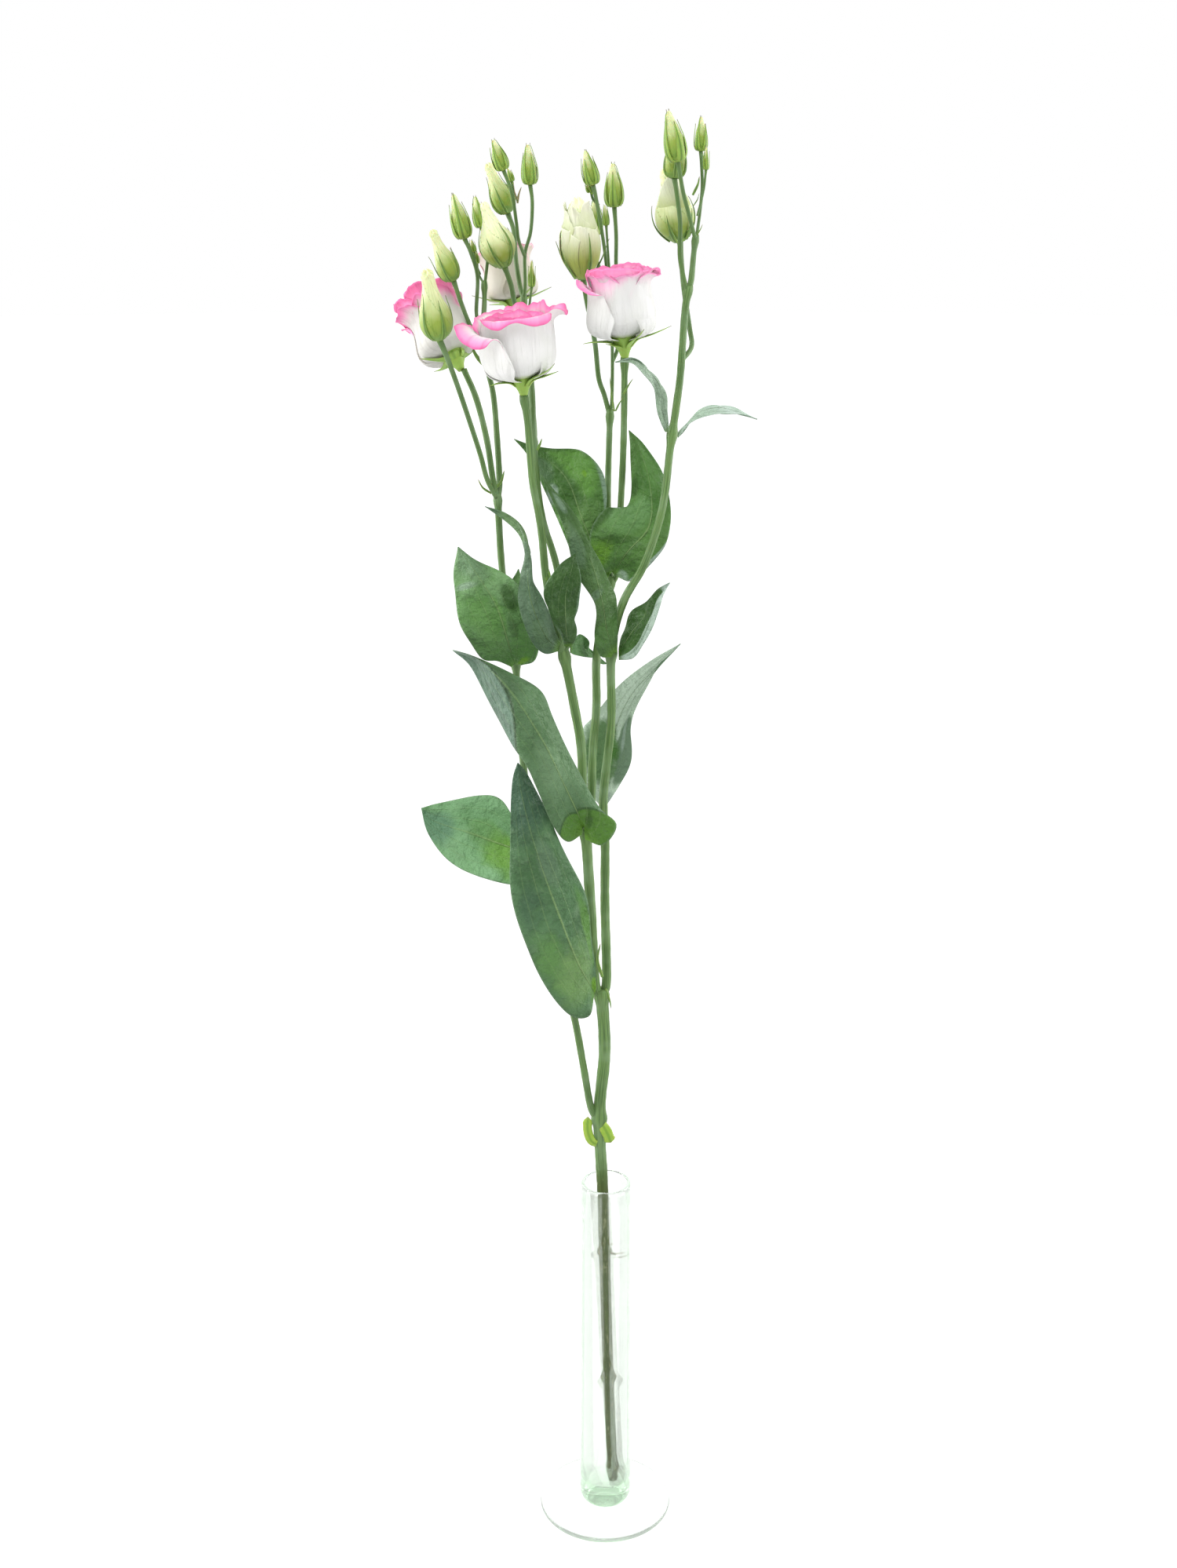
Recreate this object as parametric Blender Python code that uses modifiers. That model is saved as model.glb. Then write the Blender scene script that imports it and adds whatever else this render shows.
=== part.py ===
"""A cut stem of picotee lisianthus standing in a slim glass bud vase.

Metres, +Z up. The origin is the centre of the vase foot's underside. -Y is the front.
"""

import math

import bmesh
import bpy
from mathutils import Matrix, Vector

MM = 0.001

# ---- driving dimensions, in millimetres unless a name says otherwise ----
TOUCH_GAP = 0.3

FOOT_DIAMETER = 80.0
FOOT_THICKNESS = 3.0
FOOT_EDGE_ROUND = 1.2
VASE_HEIGHT = 222.0
TUBE_RIM_DIAMETER = 29.0
TUBE_BASE_DIAMETER = 31.0
TUBE_WALL = 2.0
TUBE_FLOOR = 12.0
TUBE_CONTACT_DIAMETER = 20.0
# Inside the tube, how much lower its floor is in the middle and how high its corner rounds.
TUBE_DISH = 0.5
TUBE_CORNER = 3.0
# The tube's rounded heel: how far inside the base's radius, and how high above its underside.
TUBE_HEEL = [(0.0, 7.0), (1.5, 3.0)]
GLASS_STEPS = 28
GLASS_WELD = 0.01

STEM_SIDES_RESOLUTION = 2
STALK_SIDES_RESOLUTION = 1
STEM_STEP = 26.0
STALK_STEP = 13.0

LEAF_THICKNESS = 0.7
LEAF_ROWS = 9
LEAF_EDGE_STEP = 5.6
# A blade stops this share of the way to its tip, where it would be too thin.
LEAF_SPAN = 0.985

PETAL_THICKNESS = 0.8
SEPAL_THICKNESS = 0.7
SEPALS = 5

# ---- stems: radius at the foot and head, then the route from foot to head ----
STEMS = {
    "stem_main": (3.0, 3.4, [(5, -1, 16), (4, 0, 35), (2, 1, 84), (0, 2, 146), (-2, 4, 215),
                             (-4, 6, 262), (-1, 6, 303), (-3, 6, 342)]),
    "stem_left": (2.0, 1.7, [(-9, 5, 268), (-13, 2, 294), (-18, 0, 325), (-28, 3, 372),
                             (-38, 8, 420), (-45, 10, 463), (-49, 9, 508), (-50, 8, 535),
                             (-56, 4, 582), (-58, 0, 626)]),
    "stem_middle": (3.0, 2.7, [(-7, 4, 348), (-9, -3, 393), (-12, -8, 446)]),
    "stem_right": (2.6, 1.8, [(0, 8, 348), (-1, 12, 392), (-1, 12, 427), (-2, 9, 457),
                              (2, 2, 501), (2, -5, 543), (8, -10, 570), (19, -12, 591),
                              (28, -11, 620), (32, -6, 651), (35, -3, 672), (37, 0, 688),
                              (39, 4, 718), (41, 5, 731)]),
    "stem_front": (2.4, 2.4, [(-14, -10, 452), (-14, -10, 487), (-18, -11, 514), (-24, -12, 546)]),
    "stem_back": (2.2, 2.2, [(-9, -5, 452), (-8, 0, 484), (-6, 4, 510), (-6, 9, 534),
                             (-3, 12, 556), (2, 15, 579)]),
    "stem_front_tip": (1.9, 1.3, [(-22, -9, 552), (-27, -3, 587), (-34, 3, 610), (-37, 7, 628),
                                  (-39, 12, 652), (-40, 16, 680), (-43, 19, 706), (-44, 22, 726)]),
    "stem_back_tip": (1.8, 1.5, [(1, 17, 583), (0, 16, 620), (1, 14, 668)]),
    "stem_left_tip": (1.6, 1.2, [(-57, 3, 632), (-58, 6, 653), (-60, 9, 677), (-65, 12, 699),
                                 (-64, 15, 722), (-64, 16, 733)]),
    "stem_right_tip": (1.5, 1.3, [(42, 5, 734), (43, 5, 746), (44, 4, 756)]),
    "stalk_front_flower": (2.0, 1.8, [(-26, -15, 553), (-32, -14, 580), (-35, -15, 611),
                                      (-39, -17, 635), (-41, -20, 664), (-43, -22, 679)]),
    "stalk_right_flower": (1.7, 1.6, [(5, 14, 584), (7, 12, 622), (8, 2, 656), (8, -12, 697)]),
    "stalk_left_flower": (1.5, 1.5, [(-60, -1, 632), (-63, -2, 654), (-68, -3, 675), (-74, -5, 690)]),
    "stalk_back_flower": (1.5, 1.5, [(-39, 17, 658), (-41, 27, 676), (-45, 40, 694), (-49, 50, 713)]),
}


# ---- buds: stalk route ending at the bud's base, the bud's tip, its greatest radius ----
BUDS = {
    "bud_left_front": ([(-63, -5, 634), (-66, -9, 647), (-70, -15, 662), (-76, -23, 683),
                        (-81, -30, 699), (-84, -33, 707)], (-89, -40, 740), 8.0),
    "bud_left_outer": ([(-66, 7, 703), (-70, -4, 711), (-74, -9, 722), (-78, -9, 734)],
                       (-88, -12, 758), 5.6),
    "bud_left_upper": ([(-68, 12, 716), (-67, 9, 735), (-70, 6, 747), (-73, 5, 754)],
                       (-78, 3, 775), 4.4),
    "bud_left_small": ([(-63, 16, 736), (-62, 18, 746), (-63, 18, 753), (-65, 18, 759)],
                       (-68, 18, 774), 3.2),
    "bud_front_large": ([(-48, 14, 721), (-50, 11, 731), (-53, 8, 740)], (-63, 4, 771), 9.0),
    "bud_front_high": ([(-46, 26, 730), (-48, 28, 743), (-49, 30, 757), (-52, 31, 766)],
                       (-62, 30, 790), 6.0),
    "bud_front_right": ([(-43, 19, 731), (-43, 20, 746), (-40, 20, 757), (-39, 20, 771),
                         (-40, 20, 780)], (-41, 19, 799), 3.8),
    "bud_front_left": ([(-46, 15, 753), (-47, 12, 762), (-49, 9, 776), (-53, 8, 787)],
                       (-58, 6, 801), 3.5),
    "bud_front_low": ([(-42, 23, 713), (-41, 26, 721), (-40, 30, 729)], (-40, 31, 742), 1.6),
    "bud_back_large": ([(-2, 15, 675), (-5, 15, 684), (-7, 16, 702), (-11, 13, 722),
                        (-13, 10, 734)], (-16, 4, 773), 10.5),
    "bud_back_left": ([(2, 14, 674), (2, 17, 702), (0, 19, 728), (-2, 18, 748), (-6, 16, 771),
                       (-8, 15, 780)], (-12, 13, 796), 3.8),
    "bud_back_right": ([(5, 20, 700), (5, 24, 720), (4, 26, 740), (4, 27, 755), (3, 27, 769)],
                       (2, 27, 790), 4.6),
    "bud_back_hidden": ([(-4, 25, 738), (-6, 29, 743), (-6, 32, 749), (-7, 34, 755)],
                        (-7, 36, 773), 3.6),
    "bud_right_large": ([(43, 12, 700), (42, 16, 710), (39, 23, 730), (37, 26, 752)],
                        (28, 22, 787), 10.0),
    "bud_right_behind": ([(38, 3, 735), (36, 5, 746), (36, 7, 762), (34, 8, 777), (33, 9, 783)],
                         (34, 11, 803), 5.6),
    "bud_right_front": ([(42, 1, 759), (40, -1, 766), (37, -2, 776), (34, -4, 791)],
                        (29, -7, 814), 5.0),
    "bud_right_small": ([(45, 7, 759), (46, 8, 767), (47, 9, 780), (46, 9, 796)],
                        (46, 9, 812), 3.0),
}
STALK_RADIUS = 0.9
LARGE_STALK_RADIUS = 1.2
LARGE_BUD_RADIUS = 7.0
# Share of the bud's length, and of its greatest radius.
BUD_TIP_RADIUS = 0.3
BUD_PROFILE = [(0.0, 0.30), (0.10, 0.72), (0.30, 1.0), (0.50, 0.86), (0.72, 0.50), (1.0, 0.12)]

# ---- leaves: left edge, midrib and right edge, each from the base to the tip ----
LEAVES = {
    "leaf_lowest": (
        [(-7, -3, 342), (-10, -8, 331), (-23, -15, 337), (-40, -22, 367), (-51, -25, 408),
         (-53, -27, 439), (-51, -27, 475)],
        [(-7, -3, 343), (-17, -18, 370), (-29, -28, 408), (-40, -32, 445), (-46, -30, 471)],
        [(-6, -4, 346), (-7, -9, 370), (-9, -13, 393), (-13, -17, 410), (-21, -21, 430),
         (-29, -24, 448), (-42, -27, 479)],
        (-48, -27, 487)),
    "leaf_far_left": (
        [(-38, 11, 419), (-46, 5, 408), (-54, 2, 407), (-73, 4, 411), (-89, 8, 420), (-100, 13, 433)],
        [(-38, 12, 420), (-52, 14, 424), (-77, 18, 432), (-98, 19, 439)],
        [(-38, 12, 422), (-49, 16, 436), (-59, 20, 451), (-72, 22, 453), (-93, 20, 449)],
        (-104, 17, 447)),
    "leaf_middle_front": (
        [(-14, -14, 442), (-22, -20, 440), (-29, -28, 451), (-37, -36, 473), (-43, -40, 489),
         (-52, -35, 501), (-61, -29, 516), (-72, -27, 539)],
        [(-13, -14, 447), (-25, -36, 482), (-35, -43, 505), (-46, -46, 525), (-57, -42, 538),
         (-70, -33, 545)],
        [(-12, -14, 439), (-2, -17, 437), (5, -15, 448), (-5, -16, 458), (-16, -25, 480),
         (-28, -36, 514), (-35, -38, 530), (-51, -33, 538), (-70, -28, 545)],
        (-82, -25, 548)),
    "leaf_middle_back": (
        [(-3, 15, 448), (-12, 20, 460), (-14, 27, 487), (-7, 29, 497), (7, 32, 515), (25, 34, 528)],
        [(-2, 15, 448), (-1, 22, 464), (4, 28, 487), (14, 32, 509)],
        [(-1, 15, 448), (8, 19, 461), (13, 21, 473), (13, 25, 490), (18, 30, 506), (29, 34, 524)],
        (41, 36, 537)),
    "leaf_left_front": (
        [(-52, 2, 532), (-59, -5, 537), (-68, -9, 540), (-77, -14, 559), (-81, -17, 582)],
        [(-50, 2, 534), (-54, -10, 552), (-58, -20, 569), (-68, -24, 588)],
        [(-49, 2, 533), (-41, -5, 538), (-38, -9, 550), (-45, -14, 571), (-49, -18, 583),
         (-66, -21, 593)],
        (-78, -18, 601)),
    "leaf_left_back": (
        [(-52, 14, 531), (-58, 24, 532), (-64, 40, 545), (-59, 56, 559)],
        [(-50, 14, 531), (-51, 30, 541), (-53, 48, 550), (-54, 62, 562)],
        [(-47, 14, 530), (-39, 22, 532), (-38, 38, 545), (-45, 54, 561)],
        (-50, 72, 572)),
    "leaf_twisted": (
        [(-26, -16, 545), (-34, -20, 545), (-41, -24, 554), (-47, -26, 574), (-46, -24, 588),
         (-43, -21, 599), (-47, -17, 609)],
        [(-26, -16, 547), (-32, -24, 554), (-38, -28, 568), (-41, -28, 583), (-41, -23, 598),
         (-46, -18, 613)],
        [(-25, -18, 550), (-28, -23, 558), (-33, -28, 574), (-38, -27, 584), (-40, -24, 596),
         (-42, -20, 604), (-49, -16, 616)],
        (-64, -12, 621)),
    "leaf_front_ovate": (
        [(-23, -21, 549), (-25, -28, 557), (-31, -33, 569), (-32, -35, 582), (-26, -34, 594)],
        [(-21, -21, 549), (-22, -34, 564), (-22, -40, 579), (-19, -37, 592)],
        [(-19, -20, 549), (-16, -27, 559), (-17, -34, 568), (-14, -36, 582), (-16, -35, 593)],
        (-17, -32, 600)),
    "leaf_front_right": (
        [(-20, -6, 548), (-14, 6, 549), (-10, 15, 540), (-6, 19, 535)],
        [(-20, -6, 545), (-14, 6, 544), (-10, 15, 537), (-5, 20, 532)],
        [(-20, -7, 542), (-14, 5, 537), (-9, 14, 534), (-4, 19, 530)],
        (0, 25, 528)),
    "leaf_right_broad": (
        [(2, 9, 583), (-4, 4, 584), (-9, 1, 594), (-9, 0, 607), (-1, 2, 618), (9, 5, 619),
         (12, 9, 628), (12, 14, 646)],
        [(3, 9, 582), (10, 3, 594), (21, 0, 607), (23, 2, 623), (19, 8, 641)],
        [(5, 8, 580), (13, 3, 579), (25, 0, 591), (31, 0, 601), (33, 1, 617), (29, 7, 635),
         (20, 12, 649)],
        (11, 15, 657)),
    "leaf_left_broad": (
        [(0, 11, 579), (-9, 9, 576), (-16, 9, 583), (-22, 10, 599), (-30, 14, 617),
         (-36, 20, 631), (-43, 23, 643)],
        [(1, 10, 581), (-7, 8, 595), (-14, 10, 613), (-22, 14, 632), (-35, 20, 643)],
        [(3, 12, 583), (0, 11, 594), (-2, 8, 608), (-1, 5, 623), (-4, 4, 638), (-14, 8, 647),
         (-31, 17, 647)],
        (-50, 25, 651)),
    "leaf_long_front": (
        [(2, -13, 541), (-4, -15, 542), (-7, -17, 552), (-7, -21, 569), (-16, -23, 588),
         (-22, -25, 609), (-29, -23, 626)],
        [(3, -13, 543), (-1, -20, 559), (-3, -24, 572), (-9, -26, 595), (-18, -26, 616)],
        [(5, -14, 544), (5, -17, 558), (5, -20, 574), (-1, -22, 586), (-12, -24, 609),
         (-26, -23, 628)],
        (-35, -21, 639)),
    "leaf_right_folded": (
        [(6, -3, 544), (8, -3, 552), (13, -2, 562), (22, 1, 571), (29, 3, 575)],
        [(6, -5, 542), (13, -9, 554), (20, -9, 565), (25, -4, 573)],
        [(6, -7, 538), (13, -14, 541), (20, -20, 551), (26, -19, 565), (29, -6, 572)],
        (33, 2, 578)),
    "leaf_high_left": (
        [(29, -8, 659), (25, -17, 668), (23, -22, 682), (13, -30, 694)],
        [(30, -9, 659), (28, -15, 670), (24, -20, 685), (12, -27, 696)],
        [(31, -10, 660), (30, -12, 669), (27, -16, 681), (15, -26, 696)],
        (3, -32, 696)),
    "leaf_high_right": (
        [(36, 2, 657), (43, 10, 664), (51, 15, 669), (66, 15, 668)],
        [(36, 0, 656), (43, 5, 663), (52, 8, 668), (64, 9, 668)],
        [(36, -2, 655), (43, 0, 662), (51, 1, 667), (63, 4, 667)],
        (78, 11, 663)),
}

# ---- flowers: foot of the calyx, centre of the mouth, body radius, mouth radius ----
FLOWERS = {
    "flower_front": ((-43, -22, 680), (-47, -27, 718), 20.0, 29.0),
    "flower_right": ((8, -12, 698), (5, -15, 734), 17.5, 21.0),
    "flower_left": ((-76, -4, 691), (-93, 15, 722), 16.0, 20.0),
    "flower_back": ((-49, 51, 714), (-55, 56, 743), 16.0, 20.0),
}
CALYX_CUP = 5.0
CALYX_MOUTH_RADIUS = 4.7
# The green cup below its mouth: radius, and height above the foot.
CALYX_BANDS = [(2.0, 0.4), (3.5, 1.4)]
SEPAL_LENGTH = 20.0
# How far out a sepal reaches for its length, since it climbs as it goes.
SEPAL_REACH = 0.85
# Along a sepal: share of its length, of its half width, and its rise over its length.
SEPAL_HALF_WIDTH = 1.6
SEPAL_PROFILE = [(0.35, 0.80, 0.03), (0.70, 0.55, 0.08), (1.0, 0.12, 0.14)]
COROLLA_STEPS = 20
# The narrow neck in the calyx: height above the foot, and radius.
COROLLA_NECK = [(1.6, 2.0), (5.4, 3.3)]
# Share of the height from neck to mouth, and of the body's radius.
CUP_PROFILE = [(0.08, 0.45), (0.28, 0.84), (0.55, 1.0), (0.82, 1.04)]
PETAL_WAVES = 5
MOUTH_WAVE = 0.05
MOUTH_LIFT = 1.5
INNER_SCALE = 0.66
# The narrow neck of the inner petals: height above the foot, and radius.
INNER_NECK = [(6.6, 0.99), (8.1, 3.3)]
INNER_HEIGHT = 0.92

COLORS = {
    "leaf": (0.10, 0.22, 0.07), "stem": (0.16, 0.28, 0.09), "bud": (0.50, 0.60, 0.28),
    "petal": (0.93, 0.88, 0.88), "picotee": (0.90, 0.45, 0.65), "calyx": (0.30, 0.48, 0.14),
    "glass": (0.85, 0.95, 0.90),
}


def clear_scene():
    for item in list(bpy.data.objects):
        bpy.data.objects.remove(item, do_unlink=True)


def collection(name):
    made = bpy.data.collections.new(name)
    bpy.context.scene.collection.children.link(made)
    return made


def material(name, color, roughness=0.55, transmission=0.0):
    made = bpy.data.materials.new(name)
    made.use_nodes = True
    shader = made.node_tree.nodes["Principled BSDF"]
    shader.inputs["Base Color"].default_value = (*color, 1.0)
    shader.inputs["Roughness"].default_value = roughness
    shader.inputs["Metallic"].default_value = 0.0
    shader.inputs["Transmission Weight"].default_value = transmission
    return made


def place(name, data, look, home):
    made = bpy.data.objects.new(name, data)
    data.materials.append(look)
    home.objects.link(made)
    return made


def smooth(points, spacing):
    """Points at about the given spacing along a Catmull-Rom curve through the route."""
    knots = [Vector(p) for p in points]
    knots = [2 * knots[0] - knots[1], *knots, 2 * knots[-1] - knots[-2]]
    found = [knots[1]]
    for a, b, c, d in zip(knots, knots[1:], knots[2:], knots[3:]):
        steps = max(1, round((c - b).length / spacing))
        for k in range(1, steps + 1):
            t = k / steps
            found.append(0.5 * (2 * b + (c - a) * t + (2 * a - 5 * b + 4 * c - d) * t**2
                                + (3 * b - 3 * c + d - a) * t**3))
    return found


def tube(name, points, radii, resolution, look, home):
    """A round stem along the points, with a radius at each, all in millimetres."""
    curve = bpy.data.curves.new(name, "CURVE")
    curve.dimensions = "3D"
    curve.bevel_depth = MM
    curve.bevel_resolution = resolution
    curve.use_fill_caps = True
    spline = curve.splines.new("POLY")
    spline.points.add(len(points) - 1)
    for knot, point, radius in zip(spline.points, points, radii):
        knot.co = (*(MM * point), 1.0)
        knot.radius = radius
    return place(name, curve, look, home)


def make_stem(name, foot, head, route, look, home):
    points = smooth(route, STEM_STEP)
    last = len(points) - 1
    radii = [foot + (head - foot) * k / last for k in range(last + 1)]
    return tube(name, points, radii, STEM_SIDES_RESOLUTION, look, home)


def make_bud(name, route, tip, radius, look, home):
    """A closed bud on its stalk, which grew as one piece."""
    stalk = LARGE_STALK_RADIUS if radius > LARGE_BUD_RADIUS else STALK_RADIUS
    points = smooth(route, STALK_STEP)
    radii = [stalk] * len(points)
    base = points[-1]
    axis = Vector(tip) - base
    for share, width in BUD_PROFILE:
        if share > 0:
            points.append(base + axis * share)
            radii.append(max(radius * width, BUD_TIP_RADIUS))
    return tube(name, points, radii, STALK_SIDES_RESOLUTION, look, home)


def at_share(points, share):
    """The point at a share of the way along a polyline."""
    lengths = [(b - a).length for a, b in zip(points, points[1:])]
    left = share * sum(lengths)
    for a, b, length in zip(points, points[1:], lengths):
        if left <= length:
            return a.lerp(b, left / length)
        left -= length
    return points[-1].copy()


def grid_mesh(name, rows, closed):
    """A sheet of quads through rows of points in millimetres; closed rows are rings."""
    mesh = bmesh.new()
    grid = [[mesh.verts.new(MM * point) for point in row] for row in rows]
    for low, high in zip(grid, grid[1:]):
        count = len(low)
        for k in range(count if closed else count - 1):
            j = (k + 1) % count
            mesh.faces.new((low[k], low[j], high[j], high[k]))
    data = bpy.data.meshes.new(name)
    mesh.to_mesh(data)
    mesh.free()
    return data


def thicken(item, thickness, offset=0.0):
    shell = item.modifiers.new("thickness", "SOLIDIFY")
    shell.thickness = MM * thickness
    shell.offset = offset
    shell.use_even_offset = False


def make_leaf(name, left, rib, right, tip, look, home):
    """A thin blade spanned between two edges and the midrib between them."""
    routes = [smooth([*route, tip], LEAF_EDGE_STEP) for route in (left, rib, right)]
    rows = []
    for row in range(LEAF_ROWS):
        share = LEAF_SPAN * row / (LEAF_ROWS - 1)
        a, b, c = (at_share(route, share) for route in routes)
        rows.append([a, a.lerp(b, 0.5), b, b.lerp(c, 0.5), c])
    item = place(name, grid_mesh(name, rows, False), look, home)
    thicken(item, LEAF_THICKNESS)
    return item


def flower_frame(foot, mouth):
    """A matrix that stands a flower on its foot with its axis through the mouth, and its height."""
    foot, mouth = Vector(foot), Vector(mouth)
    axis = mouth - foot
    turn = axis.to_track_quat("Z", "Y").to_matrix().to_4x4()
    return Matrix.Translation(foot) @ turn, axis.length


def ring(frame, radius, height, count, wave=0.0, lift=0.0, turn=0.0):
    """A ring of points round a flower's axis, waved in radius and in height."""
    points = []
    for k in range(count):
        angle = math.tau * k / count
        swing = math.cos(PETAL_WAVES * angle + turn)
        reach = radius * (1 + wave * swing)
        points.append(frame @ Vector((reach * math.cos(angle), reach * math.sin(angle),
                                      height + lift * swing)))
    return points


def make_petals(name, frame, neck, top, body, mouth, look, home):
    """One whorl of petals, joined at the foot: a cup with a waved, flared lip."""
    low = neck[-1][0]
    rows = [ring(frame, radius, height, COROLLA_STEPS) for height, radius in neck]
    for share, width in CUP_PROFILE:
        rows.append(ring(frame, width * body, low + share * (top - low), COROLLA_STEPS))
    rows.append(ring(frame, mouth, top, COROLLA_STEPS, MOUTH_WAVE, MOUTH_LIFT, low))
    data = grid_mesh(name, rows, True)
    mesh = bmesh.new()
    mesh.from_mesh(data)
    mesh.verts.ensure_lookup_table()
    mesh.faces.new([mesh.verts[k] for k in reversed(range(COROLLA_STEPS))])
    mesh.to_mesh(data)
    mesh.free()
    item = place(name, data, look, home)
    thicken(item, PETAL_THICKNESS)
    return item


def make_calyx(name, frame, look, home):
    """The green cup under a flower with its five narrow spreading sepals, grown as one piece."""
    mesh = bmesh.new()
    count = 4 * SEPALS
    rows = []
    for radius, height in [*CALYX_BANDS, (CALYX_MOUTH_RADIUS, CALYX_CUP)]:
        rows.append([mesh.verts.new(MM * p) for p in ring(frame, radius, height, count)])
    mesh.faces.new(list(reversed(rows[0])))
    for low, high in zip(rows, rows[1:]):
        for k in range(count):
            j = (k + 1) % count
            mesh.faces.new((low[k], low[j], high[j], high[k]))
    for sepal in range(SEPALS):
        first = 4 * sepal
        angle = math.tau * (first + 1) / count
        across = Vector((-math.sin(angle), math.cos(angle), 0))
        out = Vector((math.cos(angle), math.sin(angle), 0))
        before = (rows[-1][first], rows[-1][first + 1], rows[-1][first + 2])
        for share, width, rise in SEPAL_PROFILE:
            middle = (out * (CALYX_MOUTH_RADIUS + SEPAL_REACH * SEPAL_LENGTH * share)
                      + Vector((0, 0, CALYX_CUP + rise * SEPAL_LENGTH)))
            row = [mesh.verts.new(MM * (frame @ (middle + across * side * width)))
                   for side in (-SEPAL_HALF_WIDTH, 0.0, SEPAL_HALF_WIDTH)]
            for k in range(2):
                mesh.faces.new((before[k], before[k + 1], row[k + 1], row[k]))
            before = row
    data = bpy.data.meshes.new(name)
    mesh.to_mesh(data)
    mesh.free()
    item = place(name, data, look, home)
    thicken(item, SEPAL_THICKNESS)
    return item


def turned(name, profile, look, home):
    """A solid of revolution: the profile runs down the outer side, all in millimetres."""
    mesh = bmesh.new()
    corners = [mesh.verts.new((MM * x, 0, MM * z)) for x, z in profile]
    for a, b in zip(corners, corners[1:]):
        mesh.edges.new((a, b))
    data = bpy.data.meshes.new(name)
    mesh.to_mesh(data)
    mesh.free()
    item = place(name, data, look, home)
    screw = item.modifiers.new("turn", "SCREW")
    screw.axis = "Z"
    screw.steps = GLASS_STEPS
    screw.render_steps = GLASS_STEPS
    screw.use_merge_vertices = True
    screw.merge_threshold = MM * GLASS_WELD
    return item


def make_vase(look, home):
    """The two glass pieces: a flat round foot, and a heavy-bottomed tube bonded on top of it."""
    foot = FOOT_DIAMETER / 2
    edge = FOOT_EDGE_ROUND
    turned("vase_foot", [
        (0, FOOT_THICKNESS), (foot - edge, FOOT_THICKNESS), (foot, FOOT_THICKNESS - edge),
        (foot, edge), (foot - edge, 0), (0, 0)], look, home)
    rim = TUBE_RIM_DIAMETER / 2
    base = TUBE_BASE_DIAMETER / 2
    contact = TUBE_CONTACT_DIAMETER / 2
    bottom = FOOT_THICKNESS + TOUCH_GAP
    floor = bottom + TUBE_FLOOR
    lip = TUBE_WALL / 2
    heel = [(base - inset, bottom + rise) for inset, rise in TUBE_HEEL]
    turned("vase_tube", [
        (0, floor), (base - 2 * TUBE_WALL, floor + TUBE_DISH),
        (base - TUBE_WALL, floor + TUBE_CORNER), (rim - TUBE_WALL, VASE_HEIGHT - lip),
        (rim - lip, VASE_HEIGHT), (rim, VASE_HEIGHT - lip), *heel, (contact, bottom),
        (0, bottom)], look, home)


def main():
    clear_scene()
    home = collection("lisianthus_in_bud_vase")
    looks = {name: material(name, color) for name, color in COLORS.items() if name != "glass"}
    looks["glass"] = material("glass", COLORS["glass"], 0.03, 1.0)
    make_vase(looks["glass"], home)
    for name, (foot, head, route) in STEMS.items():
        make_stem(name, foot, head, route, looks["stem"], home)
    for name, (route, tip, radius) in BUDS.items():
        make_bud(name, route, tip, radius, looks["bud"], home)
    for name, (left, rib, right, tip) in LEAVES.items():
        make_leaf(name, left, rib, right, tip, looks["leaf"], home)
    for name, (foot, mouth, body, lip) in FLOWERS.items():
        frame, height = flower_frame(foot, mouth)
        make_calyx(name + "_calyx", frame, looks["calyx"], home)
        make_petals(name + "_outer_petals", frame, COROLLA_NECK, height, body, lip,
                    looks["petal"], home)
        make_petals(name + "_inner_petals", frame, INNER_NECK, INNER_HEIGHT * height,
                    INNER_SCALE * body, INNER_SCALE * lip, looks["picotee"], home)


main()
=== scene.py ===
"""The looks of a cut stem of picotee lisianthus in a slim glass bud vase.

Every sub-assembly is a class: the vase, the stems, the leaves, the buds and the open flowers.
Each builds its own meshes in millimetres, dresses them in a finish and hands them to the frame.
-Y is the front and +X is the right; the vase foot's underside rests at the origin.
"""

from __future__ import annotations

import logging
import math
from dataclasses import dataclass, field, replace
from enum import Enum
from typing import Mapping, Sequence, Union

import bpy
import numpy as np
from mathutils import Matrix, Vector


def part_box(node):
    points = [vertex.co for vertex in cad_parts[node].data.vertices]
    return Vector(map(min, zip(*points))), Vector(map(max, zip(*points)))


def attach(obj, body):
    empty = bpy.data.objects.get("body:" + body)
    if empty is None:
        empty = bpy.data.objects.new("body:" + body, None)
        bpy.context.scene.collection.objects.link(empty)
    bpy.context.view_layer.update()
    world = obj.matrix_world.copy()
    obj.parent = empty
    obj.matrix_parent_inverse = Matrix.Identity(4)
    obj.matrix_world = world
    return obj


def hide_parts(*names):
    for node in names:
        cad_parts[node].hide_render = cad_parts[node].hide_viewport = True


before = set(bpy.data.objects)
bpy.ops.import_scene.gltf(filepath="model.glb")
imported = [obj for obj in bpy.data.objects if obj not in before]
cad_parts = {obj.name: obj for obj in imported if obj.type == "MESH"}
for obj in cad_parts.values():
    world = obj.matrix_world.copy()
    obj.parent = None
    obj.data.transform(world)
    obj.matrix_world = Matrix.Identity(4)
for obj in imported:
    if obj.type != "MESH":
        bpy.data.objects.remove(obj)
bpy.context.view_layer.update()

# Sizes are in millimetres unless a line says metres.
LOG = logging.getLogger("lisianthus")
MM = 0.001
BODY = "root"

Point = tuple[float, float, float]
Color = tuple[float, float, float]
Value = Union[float, int, tuple, "Signal"]
Stops = tuple[tuple[float, Color], ...]
Curve = tuple[tuple[float, float], ...]
Material = bpy.types.Material


# ---- shader graphs


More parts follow.
